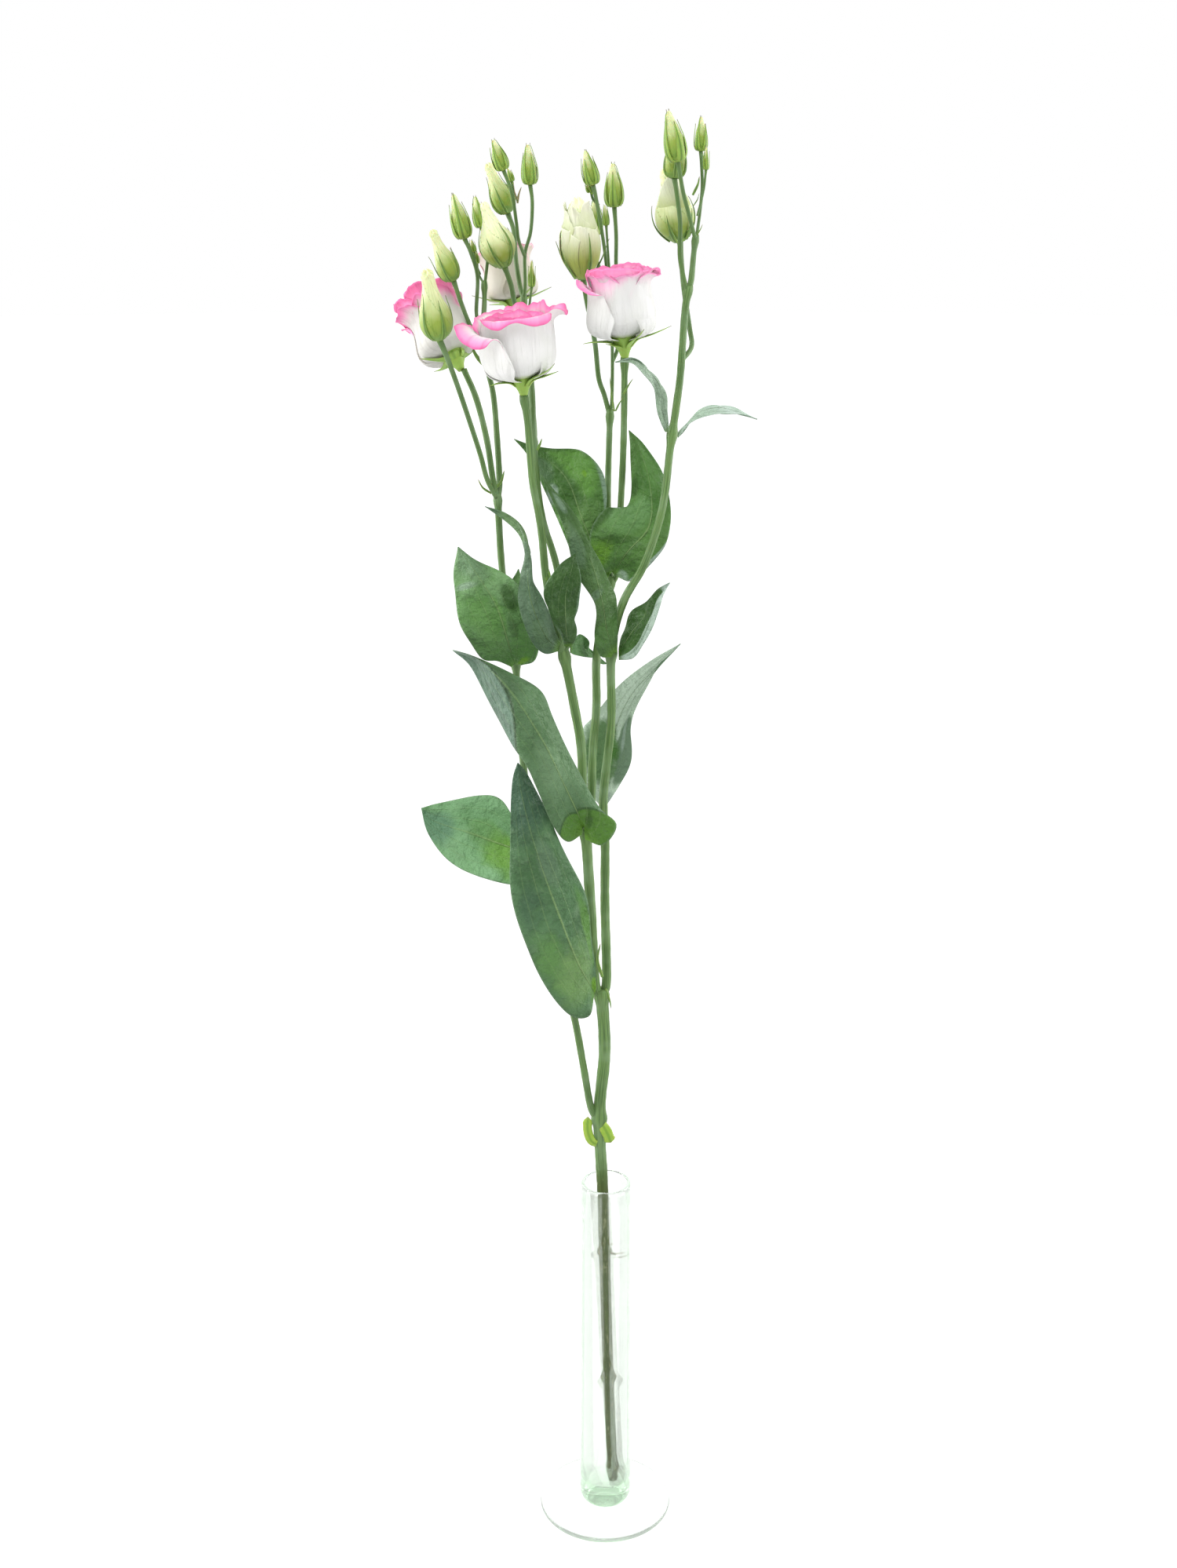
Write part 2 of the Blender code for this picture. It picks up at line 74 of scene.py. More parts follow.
class Signal:
    """A node's output that takes part in Python sums as a number would."""

    def __init__(self, graph: Graph, socket: bpy.types.NodeSocket) -> None:
        """Wrap one output socket of a graph."""
        self.graph = graph
        self.socket = socket

    def _sum(self, operation: str, first: Value, second: Value) -> Signal:
        """Add the Math or Vector Math node for one operation on two values."""
        kind = "Math" if self.socket.type == "VALUE" else "VectorMath"
        return self.graph.add(kind, {"operation": operation}, {0: first, 1: second})

    def __add__(self, other: Value) -> Signal:
        """Add a value on the right."""
        return self._sum("ADD", self, other)

    def __radd__(self, other: Value) -> Signal:
        """Add a value on the left."""
        return self._sum("ADD", other, self)

    def __sub__(self, other: Value) -> Signal:
        """Take a value away."""
        return self._sum("SUBTRACT", self, other)

    def __rsub__(self, other: Value) -> Signal:
        """Take this signal away from a value."""
        return self._sum("SUBTRACT", other, self)

    def __mul__(self, other: Value) -> Signal:
        """Multiply by a value on the right."""
        return self._sum("MULTIPLY", self, other)

    def __rmul__(self, other: Value) -> Signal:
        """Multiply by a value on the left."""
        return self._sum("MULTIPLY", other, self)

    def __truediv__(self, other: Value) -> Signal:
        """Divide by a value."""
        return self._sum("DIVIDE", self, other)

    def __abs__(self) -> Signal:
        """Drop the sign."""
        return self.graph.add("Math", {"operation": "ABSOLUTE"}, {0: self})

    def step(self, low: Value, high: Value) -> Signal:
        """A soft step that is 0 below one value and 1 above the other.

        Args:
            low: Where the step begins.
            high: Where it ends; below low, the step falls instead.

        Returns:
            The stepped signal, between 0 and 1.
        """
        return self.graph.add("MapRange", {"interpolation_type": "SMOOTHSTEP"},
                              {"Value": self, "From Min": low, "From Max": high})

    def blend(self, below: Value, above: Value) -> Signal:
        """Mix two colours with this signal as the factor.

        Args:
            below: The colour where this signal is 0.
            above: The colour where it is 1.

        Returns:
            The mixed colour.
        """
        return self.graph.add("Mix", {"data_type": "RGBA"},
                              {0: self, 6: below, 7: above}, output=2)


class Graph:
    """A new material's node tree, and short ways to write the nodes used here."""

    def __init__(self, name: str) -> None:
        """Start an empty node tree in a new material."""
        self.material = bpy.data.materials.new(name)
        self.material.use_nodes = True
        self.tree = self.material.node_tree
        self.tree.nodes.clear()

    def add(self, kind: str, settings: Mapping[str, object] | None = None,
            inputs: Mapping[Union[str, int], Value] | None = None, output: int = 0) -> Signal:
        """Make one node.

        Args:
            kind: The node's type, without its common prefix.
            settings: Its properties, set first; "stops" holds a ramp's places and colours.
            inputs: Values or signals for its sockets, by name or number.
            output: The number of the output that is wanted.

        Returns:
            The wanted output.
        """
        node = self.tree.nodes.new("ShaderNode" + kind)
        for key, value in (settings or {}).items():
            if key == "stops":
                self._set_stops(node.color_ramp, value)
            else:
                setattr(node, key, value)
        for key, value in (inputs or {}).items():
            self._feed(node.inputs[key], value)
        return Signal(self, node.outputs[output])

    @staticmethod
    def _set_stops(ramp: bpy.types.ColorRamp, stops: Stops) -> None:
        """Give a ramp its stops."""
        while len(ramp.elements) < len(stops):
            ramp.elements.new(1.0)
        for element, (place, color) in zip(ramp.elements, stops):
            element.position = place
            element.color = (*color, 1.0)

    def _feed(self, socket: bpy.types.NodeSocket, value: Value) -> None:
        """Link a signal to a socket, or set the socket's own value."""
        if isinstance(value, Signal):
            self.tree.links.new(value.socket, socket)
        elif isinstance(value, tuple) and socket.type == "RGBA":
            socket.default_value = (*value, 1.0)
        elif isinstance(value, tuple):
            socket.default_value = value
        elif socket.type == "RGBA":
            socket.default_value = (value, value, value, 1.0)
        elif socket.type == "VECTOR":
            socket.default_value = (value, value, value)
        else:
            socket.default_value = value

    def place(self) -> Signal:
        """The point being shaded, in metres."""
        return self.add("NewGeometry")

    def value(self, name: str) -> Signal:
        """A point value that the mesh carries by this name."""
        return self.add("Attribute", {"attribute_name": name}, output=2)

    def values(self, *names: str) -> tuple[Signal, ...]:
        """Several point values at once."""
        return tuple(self.value(name) for name in names)

    def height(self) -> Signal:
        """The height of the point being shaded, in metres."""
        return self.add("SeparateXYZ", None, {0: self.place()}, output=2)

    def point(self, x: Value, y: Value, z: Value) -> Signal:
        """A vector from three values."""
        return self.add("CombineXYZ", None, {0: x, 1: y, 2: z})

    def grain(self, vector: Signal, scale: float, detail: float = 3.0,
              roughness: float = 0.55) -> Signal:
        """Noise between 0 and 1.

        Args:
            vector: Where to read it.
            scale: Grains in a unit of the vector.
            detail: Octaves of finer grain.
            roughness: Strength of the finer grain.

        Returns:
            The noise as a number.
        """
        return self.add("TexNoise", None, {
            "Vector": vector, "Scale": scale, "Detail": detail, "Roughness": roughness})

    def bump(self, height: Value, depth: float) -> Signal:
        """A normal for a height between 0 and 1.

        Args:
            height: The height signal.
            depth: The depth in metres of a height of 1.

        Returns:
            The bumped normal.
        """
        return self.add("Bump", None,
                        {"Strength": 1.0, "Distance": depth, "Height": height})

    def finish(self, shader: Signal, volume: Signal | None = None) -> Material:
        """Connect the final shader and give back the material.

        Args:
            shader: What the surface looks like.
            volume: What fills it, if anything does.

        Returns:
            The finished material.
        """
        output = self.tree.nodes.new("ShaderNodeOutputMaterial")
        self.tree.links.new(shader.socket, output.inputs["Surface"])
        if volume is not None:
            self.tree.links.new(volume.socket, output.inputs["Volume"])
        return self.material

    def solid(self, color: Signal, inputs: Mapping[str, Value]) -> Material:
        """A surface that light doesn't pass through.

        Args:
            color: Its colour.
            inputs: Its other sockets.

        Returns:
            The finished material.
        """
        return self.finish(self.add("BsdfPrincipled", None,
                                    {"Base Color": color, **inputs}))

    def thin(self, color: Signal, through: Color, share: Value,
             inputs: Mapping[str, Value]) -> Material:
        """A thin plant sheet, which lets part of the light through.

        Args:
            color: The colour of its face.
            through: The colour of the light that comes through it.
            share: How much of the light comes through, all over or place by place.
            inputs: Other sockets of the face.

        Returns:
            The finished material.
        """
        face = self.add("BsdfPrincipled", None, {"Base Color": color, **inputs})
        glow = self.add("BsdfTranslucent", None, {"Color": through})
        return self.finish(self.add("MixShader", None, {0: share, 1: face, 2: glow}))


# ---- finishes


@dataclass(frozen=True)
class Zone:
    """A patch of another tone on a leaf, round or oval in shares along and across; many are painted
    shade, highlights or glow.

    Args:
        along: Its middle, from 0 at the base to 1 at the tip.
        across: Its middle, from -1 at the left edge to 1 at the right.
        long: Its half length.
        wide: Its half width.
        tone: Its colour.
        strength: How much it covers.
        soft: How far it fades, as a share of its size.
    """

    along: float
    across: float
    long: float
    wide: float
    tone: Color
    strength: float = 0.7
    soft: float = 0.8

    def mask(self, along: Signal, across: Signal, cloud: Signal) -> Signal:
        """How much the zone covers a point.

        Args:
            along: The share along the leaf.
            across: The share across it.
            cloud: Slow noise that unsettles the border.

        Returns:
            The cover, from 0 to the strength.
        """
        down = (along - self.along) / self.long
        over = (across - self.across) / self.wide
        far = down * down + over * over + (cloud - 0.5) * (2.4 * self.soft)
        return far.step(1.0, 1.0 - self.soft) * self.strength


@dataclass(frozen=True)
class LeafFinish:
    """A waxy grey-green leaf with pale veins, paler underneath, carrying painted shade, highlights
    and glow.
    """

    light: Color = (0.11, 0.215, 0.085)
    dark: Color = (0.06, 0.135, 0.045)
    bloom: Color = (0.21, 0.32, 0.19)
    vein: Color = (0.27, 0.42, 0.16)
    under: Color = (0.3, 0.41, 0.31)
    glow: Color = (0.15, 0.33, 0.03)
    zones: tuple[Zone, ...] = ()
    # Painted light and shade on the folded-back lobe.
    fold_shading: Color = (0.19, 0.29, 0.22)
    shine: float = 0.36
    seed: float = 0.0

    def material(self, name: str) -> Material:
        """Build the leaf's material; the mesh carries its along, across and side values."""
        graph = Graph(name)
        along, across, side, folded = graph.values("along", "across", "side", "fold")
        place = graph.place() + (self.seed, 0.0, 0.0)
        wide = graph.grain(place, 34.0, 3.0)
        patch = graph.grain(place + (0.0, 3.0, 0.0), 90.0, 4.0, 0.6)
        mottle = graph.grain(place, 520.0, 4.0)
        off = abs(across)
        ribs = off.step(0.042, 0.008) * (0.45 + 0.8 * along.step(0.85, 0.1))
        for line, strength in ((0.34, 0.34), (0.66, 0.22)):
            bend = abs(off - line * (1.0 + 0.14 * (wide - 0.5)))
            ribs = ribs + strength * bend.step(0.026, 0.004)
        slant = along * 8.0 - off * 1.7 + (wide - 0.5) * 1.6 + 0.06 * across
        branch = graph.add("Math", {"operation": "PINGPONG"}, {0: slant, 1: 0.5})
        branches = branch.step(0.06, 0.01) * off.step(0.9, 0.3) * patch.step(0.4, 0.7)
        skin = wide.step(0.36, 0.64).blend(self.dark, self.light)
        skin = (patch.step(0.54, 0.78) * 0.38).blend(skin, self.bloom)
        skin = (patch.step(0.48, 0.32) * 0.72).blend(skin, self.dark)
        for zone in self.zones:
            skin = zone.mask(along, across, wide * 0.6 + patch * 0.4).blend(skin, zone.tone)
        # The folded-back lobe takes painted light and shade for the way it turns to the light.
        skin = folded.blend(skin, patch.step(0.3, 0.7).blend(
            tuple(0.72 * c for c in self.fold_shading), self.fold_shading))
        # A painted dark line of shade along the fold's crease.
        crease = folded * (1.0 - folded) * 3.6
        skin = crease.blend(skin, tuple(0.4 * c for c in self.dark))
        skin = (mottle.step(0.45, 0.8) * 0.2).blend(skin, self.bloom)
        skin = (ribs * 0.6 + branches * 0.14).blend(skin, self.vein)
        # Painted highlight: a thin lighter rim along the margins, as if lit from behind.
        skin = (off.step(0.955, 1.0) * 0.45).blend(skin, self.bloom)
        # Painted glow: the base tinted yellow-green as if light shone through it.
        skin = (along.step(0.07, 0.0) * 0.5).blend(skin, self.glow)
        pale = mottle.blend(self.under, tuple(0.82 * c for c in self.under))
        for zone in self.zones:
            pale = (zone.mask(along, across, patch) * 0.9).blend(pale, zone.tone)
        pale = (ribs * 0.35 + branches * 0.2).blend(pale, self.vein)
        color = side.step(-0.2, 0.2).blend(pale, skin)
        raised = ribs * 0.1 + patch * 1.1 + wide * 1.2 + mottle * 0.05
        return graph.thin(color, self.glow, 0.1 + 0.16 * patch, {
            "Roughness": self.shine + mottle * 0.2, "Specular IOR Level": 0.18,
            "Normal": graph.bump(raised, 0.0055)})


@dataclass(frozen=True)
class StemFinish:
    """A smooth green stem with fine lengthwise lines and a waxy bloom."""

    light: Color = (0.14, 0.245, 0.072)
    dark: Color = (0.05, 0.11, 0.027)
    bloom: Color = (0.19, 0.29, 0.15)
    old: Color = (0.04, 0.045, 0.001)
    fleck: Color = (0.38, 0.37, 0.2)
    old_top: float = 0.0

    def material(self, name: str) -> Material:
        """Build the stem's material; below old_top, in metres, it is woody and flecked."""
        graph = Graph(name)
        place = graph.place()
        around, along = graph.values("around", "along")
        lines = graph.grain(graph.point(around * 9.0, along * 0.02, 0.5), 1.6, 3.0)
        patches = graph.grain(place, 55.0, 2.0)
        fine = graph.grain(place, 900.0, 2.0)
        skin = lines.step(0.32, 0.68).blend(self.dark, self.light)
        skin = (patches.step(0.45, 0.75) * 0.55).blend(skin, self.bloom)
        raised = lines * 0.6 + fine * 0.2
        if self.old_top:
            aged = graph.height().step(self.old_top + 0.012, self.old_top - 0.015)
            flecks = graph.add("TexNoise", None, {
                "Vector": place * (1.0, 1.0, 0.35), "Scale": 620.0, "Detail": 2.0})
            spots = flecks.step(0.62, 0.7)
            bark = (patches * 0.3 + lines * 0.2).blend(self.old, skin)
            bark = (spots * 0.8).blend(bark, self.fleck)
            skin = aged.blend(skin, bark)
            raised = raised + spots * aged * 0.8
        return graph.solid(skin, {
            "Roughness": 0.42 + fine * 0.22, "Specular IOR Level": 0.3,
            "Subsurface Weight": 0.1, "Subsurface Scale": 0.002,
            "Normal": graph.bump(raised, 0.0004)})


@dataclass(frozen=True)
class PetalFinish:
    """A white petal whose margin is brushed with pink, feathered inward along its veins."""

    white: Color = (0.895, 0.895, 0.885)
    cream: Color = (0.815, 0.83, 0.765)
    green: Color = (0.6, 0.72, 0.36)
    pink: Color = (0.9, 0.3, 0.54)
    deep: Color = (0.86, 0.13, 0.38)
    blush: Color = (0.9, 0.48, 0.66)
    inner_band: float = 9.0
    outer_band: float = 1.6
    strength: float = 1.0
    green_reach: float = 0.16
    green_start: float = 0.02
    through: float = 0.46

    def material(self, name: str) -> Material:
        """Build the petal's material; the mesh carries the distance to its margin in mm."""
        graph = Graph(name)
        along, across, rim, side = graph.values("along", "across", "rim", "side")
        petal, blush = graph.values("petal", "blush")
        streak = graph.grain(graph.point(across * 16.0, along * 1.4, petal * 7.0), 1.0, 4.0, 0.7)
        cloud = graph.grain(graph.place(), 95.0, 2.0)
        inside = side.step(0.2, -0.2)
        outer = self.outer_band * blush
        band = outer + inside * (self.inner_band * blush.step(0.05, 0.9) - outer) + 0.05
        band = band * (0.6 + 0.8 * cloud) * (0.65 + 0.7 * streak)
        depth = rim / band
        brushed, edge, near = depth.step(1.0, 0.25), depth.step(0.3, 0.0), depth.step(0.75, 0.15)
        tone = (inside * 0.35 + near * 0.7 + (cloud - 0.5) * 0.5).step(0.1, 0.9).blend(
            self.blush, self.pink)
        tone = (edge * (0.7 + 0.3 * inside)).blend(tone, self.deep)
        veins = streak.step(0.5, 0.72)
        ground = (cloud.step(0.3, 0.8) * 0.5 + veins * 0.12).blend(self.white, self.cream)
        ground = (along + (streak - 0.5) * 0.2).step(self.green_reach, self.green_start).blend(
            ground, self.green)
        color = (brushed * self.strength).blend(ground, tone)
        share = self.through - brushed * (self.through - 0.1)
        return graph.thin(color, self.white, share, {
            "Roughness": 0.55 + streak * 0.2, "Specular IOR Level": 0.3, "Sheen Weight": 0.15,
            "Sheen Roughness": 0.5,
            "Normal": graph.bump(veins * 0.25 + streak * 0.5 + cloud * 0.6, 0.0005)})


@dataclass(frozen=True)
class BudFinish:
    """Furled petals, green where the calyx holds them and cream towards the tip."""

    low: Color = (0.165, 0.285, 0.034)
    middle: Color = (0.24, 0.335, 0.046)
    tip: Color = (0.64, 0.69, 0.38)
    streak: Color = (0.115, 0.22, 0.022)
    ripeness: float = 0.0

    def material(self, name: str) -> Material:
        """Build the bud's material; ripeness brings the cream lower down."""
        graph = Graph(name)
        along, around, seam = graph.values("along", "around", "seam")
        lines = graph.grain(graph.point(around * 26.0, along * 1.2, 0.3), 1.0, 3.0, 0.65)
        cloud = graph.grain(graph.place(), 160.0, 2.0)
        ripe = along + (cloud - 0.5) * 0.25 + self.ripeness
        body = graph.add("ValToRGB", {"stops": (
            (0.05, self.low), (0.35, self.middle), (0.8, self.tip))}, {"Fac": ripe})
        body = (lines.step(0.48, 0.7) * 0.55 * along.step(1.1, 0.3)).blend(body, self.streak)
        # Painted shade: a darker band along the seams where one furled petal laps over the next.
        body = (seam.step(0.86, 0.97) * 0.55).blend(body, self.streak)
        return graph.solid(body, {
            "Roughness": 0.48 + lines * 0.15, "Specular IOR Level": 0.35,
            "Subsurface Weight": 0.3, "Subsurface Scale": 0.003, "Sheen Weight": 0.1,
            "Normal": graph.bump(lines * 0.5 + cloud * 0.4, 0.0004)})


@dataclass(frozen=True)
class SepalFinish:
    """A sepal or bract: green, with a darker keel and a dry brownish tip."""

    face: Color = (0.11, 0.21, 0.04)
    keel: Color = (0.045, 0.105, 0.02)
    tip: Color = (0.11, 0.08, 0.035)
    base: Color = (0.19, 0.33, 0.05)

    def material(self, name: str) -> Material:
        """Build the sepal's material."""
        graph = Graph(name)
        along, across = graph.values("along", "across")
        cloud = graph.grain(graph.place(), 300.0, 3.0)
        color = (cloud.step(0.3, 0.7) * 0.6 + along.step(0.35, 0.0) * 0.5).blend(
            self.face, self.base)
        color = (abs(across).step(0.4, 0.08) * 0.8).blend(color, self.keel)
        color = (along.step(0.88, 1.0) * 0.8).blend(color, self.tip)
        return graph.solid(color, {
            "Roughness": 0.45 + cloud * 0.2, "Specular IOR Level": 0.4,
            "Subsurface Weight": 0.15, "Subsurface Scale": 0.001,
            "Normal": graph.bump(cloud, 0.0002)})


@dataclass(frozen=True)
class GlassFinish:
    """Clear soda glass, faintly green where it is thick, with a little dust."""

    tint: Color = (0.3, 0.76, 0.31)
    density: float = 19.0
    clear: Color = (0.99, 1.0, 0.99)
    bending: float = 1.41

    def material(self, name: str) -> Material:
        """Build the glass: its wall, edge and underside let more light straight on."""
        graph = Graph(name)
        place = graph.place()
        dust = graph.grain(place, 380.0, 3.0).step(0.62, 0.8)
        radius = graph.add("VectorMath", {"operation": "LENGTH"},
                           {0: place * (1.0, 1.0, 0.0)}, output=1)
        shader = graph.add("BsdfPrincipled", None, {
            "Base Color": (1.0, 1.0, 1.0), "Roughness": dust * 0.004, "IOR": self.bending,
            "Transmission Weight": 1.0, "Specular IOR Level": 0.38})
        height = graph.height()
        tube = height.step(0.0034, 0.0042)
        edge = radius.step(0.037, 0.0388)
        under = height.step(0.0006, 0.0002)
        rim = height.step(0.218, 0.22)
        thin = tube * (0.5 - 0.4 * rim) + edge * 0.14 + under * 0.24
        clear = graph.add("BsdfTransparent", None, {"Color": self.clear})
        wall = graph.add("MixShader", None, {0: thin, 1: shader, 2: clear})
        inside = graph.add("VolumeAbsorption", None,
                           {"Color": self.tint, "Density": self.density})
        return graph.finish(wall, inside)


@dataclass(frozen=True)
class FloorFinish:
    """A matt white studio sweep."""

    white: Color = (0.06, 0.061, 0.062)
    lift: float = 1.12

    def material(self, name: str) -> Material:
        """Build the floor; a little of its own light keeps it high-key."""
        graph = Graph(name)
        fine = graph.grain(graph.place(), 14.0, 2.0)
        color = fine.blend(self.white, tuple(0.985 * c for c in self.white))
        return graph.solid(color, {
            "Roughness": 0.9, "Specular IOR Level": 0.05,
            "Emission Color": (1.0, 1.0, 1.0), "Emission Strength": self.lift})


# ---- meshes

FORWARD: Point = (0.0, -1.0, 0.0)
CURVE_STEPS = 12


def even(count: int) -> np.ndarray:
    """Shares from 0 to 1, evenly spaced."""
    return np.linspace(0.0, 1.0, count)


def ring(sides: int) -> np.ndarray:
    """Angles once round, in radians."""
    return np.linspace(0.0, math.tau, sides, endpoint=False)


def curve_through(points: Sequence[Point], count: int) -> np.ndarray:
    """Even steps along a smooth curve through a route.

    Args:
        points: The route's points.
        count: How many points are wanted.

    Returns:
        The points, one a row.
    """
    knots = np.array(points, float)
    knots = np.vstack([2 * knots[0] - knots[1], knots, 2 * knots[-1] - knots[-2]])
    t = even(CURVE_STEPS + 1)[:-1, None]
    spans = []
    for a, b, c, d in zip(knots, knots[1:], knots[2:], knots[3:]):
        spans.append(0.5 * (2 * b + (c - a) * t + (2 * a - 5 * b + 4 * c - d) * t**2
                            + (3 * b - 3 * c + d - a) * t**3))
    return even_steps(np.vstack([*spans, knots[-2:-1]]), even(count))


def even_steps(line: np.ndarray, shares: np.ndarray) -> np.ndarray:
    """Points at shares of the way along a polyline."""
    steps = np.linalg.norm(np.diff(line, axis=0), axis=1)
    far = np.concatenate([[0.0], np.cumsum(steps)])
    return np.stack([np.interp(shares * far[-1], far, line[:, k]) for k in range(3)], axis=1)


def profile(stops: Sequence[tuple[float, float]], shares: np.ndarray) -> np.ndarray:
    """A smooth curve of values through (share, value) stops.

    Args:
        stops: The stops. No two may stand at the same share, which would divide by zero.
        shares: Where the curve is read, in any shape.

    Returns:
        The values, in the same shape.
    """
    x, y = np.array(stops, float).T
    slope = np.gradient(y, x)
    k = np.clip(np.searchsorted(x, shares, side="right") - 1, 0, len(x) - 2)
    h = x[k + 1] - x[k]
    t = np.clip((shares - x[k]) / h, 0.0, 1.0)
    return ((2 * t**3 - 3 * t**2 + 1) * y[k] + (t**3 - 2 * t**2 + t) * h * slope[k]
            + (3 * t**2 - 2 * t**3) * y[k + 1] + (t**3 - t**2) * h * slope[k + 1])


def unit(vectors: np.ndarray) -> np.ndarray:
    """Vectors brought to length 1."""
    return vectors / np.maximum(np.linalg.norm(vectors, axis=-1, keepdims=True), 1e-9)


def frames_along(line: np.ndarray, hint: Point) -> tuple[np.ndarray, np.ndarray]:
    """Two directions across a line, carried along it without twisting.

    Args:
        line: The line's points.
        hint: A direction that the first of the two starts near.

    Returns:
        The two directions at each point.
    """
    ahead = unit(np.gradient(line, axis=0))
    first = []
    carried = np.array(hint, float)
    for direction in ahead:
        carried = unit(carried - direction * carried.dot(direction))
        first.append(carried)
    normal = np.array(first)
    return normal, np.cross(ahead, normal)


@dataclass
class Shape:
    """Points, faces and point values that together become one mesh, in millimetres."""

    points: list[np.ndarray] = field(default_factory=list)
    faces: list[tuple[int, ...]] = field(default_factory=list)
    values: dict[str, list[np.ndarray]] = field(default_factory=dict)
    count: int = 0

    def _store(self, grid: np.ndarray, values: Mapping[str, np.ndarray]) -> int:
        """Keep a grid's points and values, and give back its first index."""
        first = self.count
        flat = grid.reshape(-1, 3)
        self.points.append(flat)
        self.count += len(flat)
        for name in {**self.values, **values}:
            kept = self.values.setdefault(name, [np.zeros(first)] if first else [])
            given = np.broadcast_to(values.get(name, 0.0), grid.shape[:2])
            kept.append(np.array(given, float).reshape(-1))
        return first

    def tube(self, grid: np.ndarray, values: Mapping[str, np.ndarray]) -> None:
        """Add a closed tube.

        Args:
            grid: Rings of points from the foot to the head.
            values: Point values of the same shape.
        """
        rows, sides = grid.shape[:2]
        first = self._store(grid, values)
        for row in range(rows - 1):
            for k in range(sides):
                a, b = first + row * sides + k, first + row * sides + (k + 1) % sides
                self.faces.append((a, b, b + sides, a + sides))
        ends = {name: np.array([[v[0].mean()], [v[-1].mean()]]) for name, v in (
            (n, np.broadcast_to(v, grid.shape[:2])) for n, v in values.items())}
        caps = self._store(np.array([[grid[0].mean(0)], [grid[-1].mean(0)]]), ends)
        last = first + (rows - 1) * sides
        for k in range(sides):
            j = (k + 1) % sides
            self.faces.append((first + j, first + k, caps))
            self.faces.append((last + k, last + j, caps + 1))

    def sheet(self, grid: np.ndarray, thickness: np.ndarray | float,
              values: Mapping[str, np.ndarray]) -> None:
        """Add a thin closed sheet, with "side" 1 on the face its normals leave and -1 behind.

        Args:
            grid: Rows of points across the sheet.
            thickness: Its thickness, all over or at each point.
            values: Point values of the same shape.
        """
        rows, columns = grid.shape[:2]
        normal = unit(np.cross(np.gradient(grid, axis=1), np.gradient(grid, axis=0)))
        half = 0.5 * np.broadcast_to(thickness, grid.shape[:2])[..., None]
        one = np.ones(grid.shape[:2])
        top = self._store(grid + normal * half, {**values, "side": one})
        under = self._store(grid - normal * half, {**values, "side": -one})
        for row in range(rows - 1):
            for k in range(columns - 1):
                a = row * columns + k
                b, c, d = a + 1, a + columns + 1, a + columns
                self.faces.append((top + a, top + b, top + c, top + d))
                self.faces.append((under + d, under + c, under + b, under + a))
        edge = [*range(columns), *(columns * r + columns - 1 for r in range(1, rows)),
                *(columns * (rows - 1) + k for k in range(columns - 2, -1, -1)),
                *(columns * r for r in range(rows - 2, 0, -1))]
        for a, b in zip(edge, edge[1:] + edge[:1]):
            self.faces.append((top + b, top + a, under + a, under + b))

    def build(self, name: str, material: Material) -> bpy.types.Object:
        """Make the mesh object.

        Args:
            name: The piece's name.
            material: Its finish.

        Returns:
            The new object, in metres.
        """
        mesh = bpy.data.meshes.new(name)
        points = np.vstack(self.points) * MM
        mesh.from_pydata(points.tolist(), [], self.faces)
        for key, parts in self.values.items():
            layer = mesh.attributes.new(key, "FLOAT", "POINT")
            layer.data.foreach_set("value", np.concatenate(parts).astype(np.float32))
        mesh.shade_smooth()
        mesh.materials.append(material)
        piece = bpy.data.objects.new(name, mesh)
        bpy.context.scene.collection.objects.link(piece)
        return piece


class Slot(Enum):
    """The record's material slots."""

    GLASS = "clear_glass"
    STEM = "stem_green"
    LEAF = "leaf_green"
    BUD = "bud_green"
    CALYX = "calyx_green"
    PETAL = "petal_white"
    PINK = "petal_pink_edge"


def mount(piece: bpy.types.Object, slot: Slot, *nodes: str) -> None:
    """Fix a finished piece to the frame and report it.

    Args:
        piece: The piece, in place.
        slot: The record's slot that it belongs to; not used.
        nodes: The CAD nodes that it stands for.
    """
    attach(piece, BODY)
    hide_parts(*nodes)
    LOG.info("%s: %d faces, for %s", piece.name, len(piece.data.polygons), ", ".join(nodes))


def swept(line: np.ndarray, radius: np.ndarray, far: np.ndarray) -> Shape:
    """Sweep a rounded section along a line.

    Args:
        line: The midline.
        radius: The radius at each point of it, all round.
        far: How far along each point is.

    Returns:
        The shape, with its "along" and "around" values.
    """
    sides = radius.shape[1]
    angle = ring(sides)
    normal, across = frames_along(line, FORWARD)
    shape = Shape()
    shape.tube(line[:, None] + normal[:, None] * (radius * np.cos(angle))[..., None]
               + across[:, None] * (radius * np.sin(angle))[..., None],
               {"along": np.repeat(far[:, None], sides, 1),
                "around": np.repeat(np.abs(angle / math.pi - 1)[None], len(line), 0)})
    return shape


def needle(shape: Shape, line: np.ndarray, facing: Point, width: np.ndarray,
           depth: np.ndarray, sides: int = 8) -> None:
    """Add a narrow keeled blade, such as a sepal or a bract.

    Args:
        shape: The shape it joins.
        line: Its midline from base to tip.
        facing: The direction that its keel faces.
        width: Half its width at each point.
        depth: Half its thickness at each point.
        sides: Points round it.
    """
    normal, across = frames_along(line, facing)
    angle = ring(sides)
    keel = np.where(np.sin(angle) > 0, np.sin(angle) ** 2, 0.35 * np.sin(angle))
    grid = (line[:, None] + across[:, None] * (width[:, None] * np.cos(angle))[..., None]
            + normal[:, None] * (depth[:, None] * keel)[..., None])
    shape.tube(grid, {"along": np.repeat(even(len(line))[:, None], sides, 1),
                      "across": np.repeat(np.cos(angle)[None], len(line), 0)})


# ---- the vase


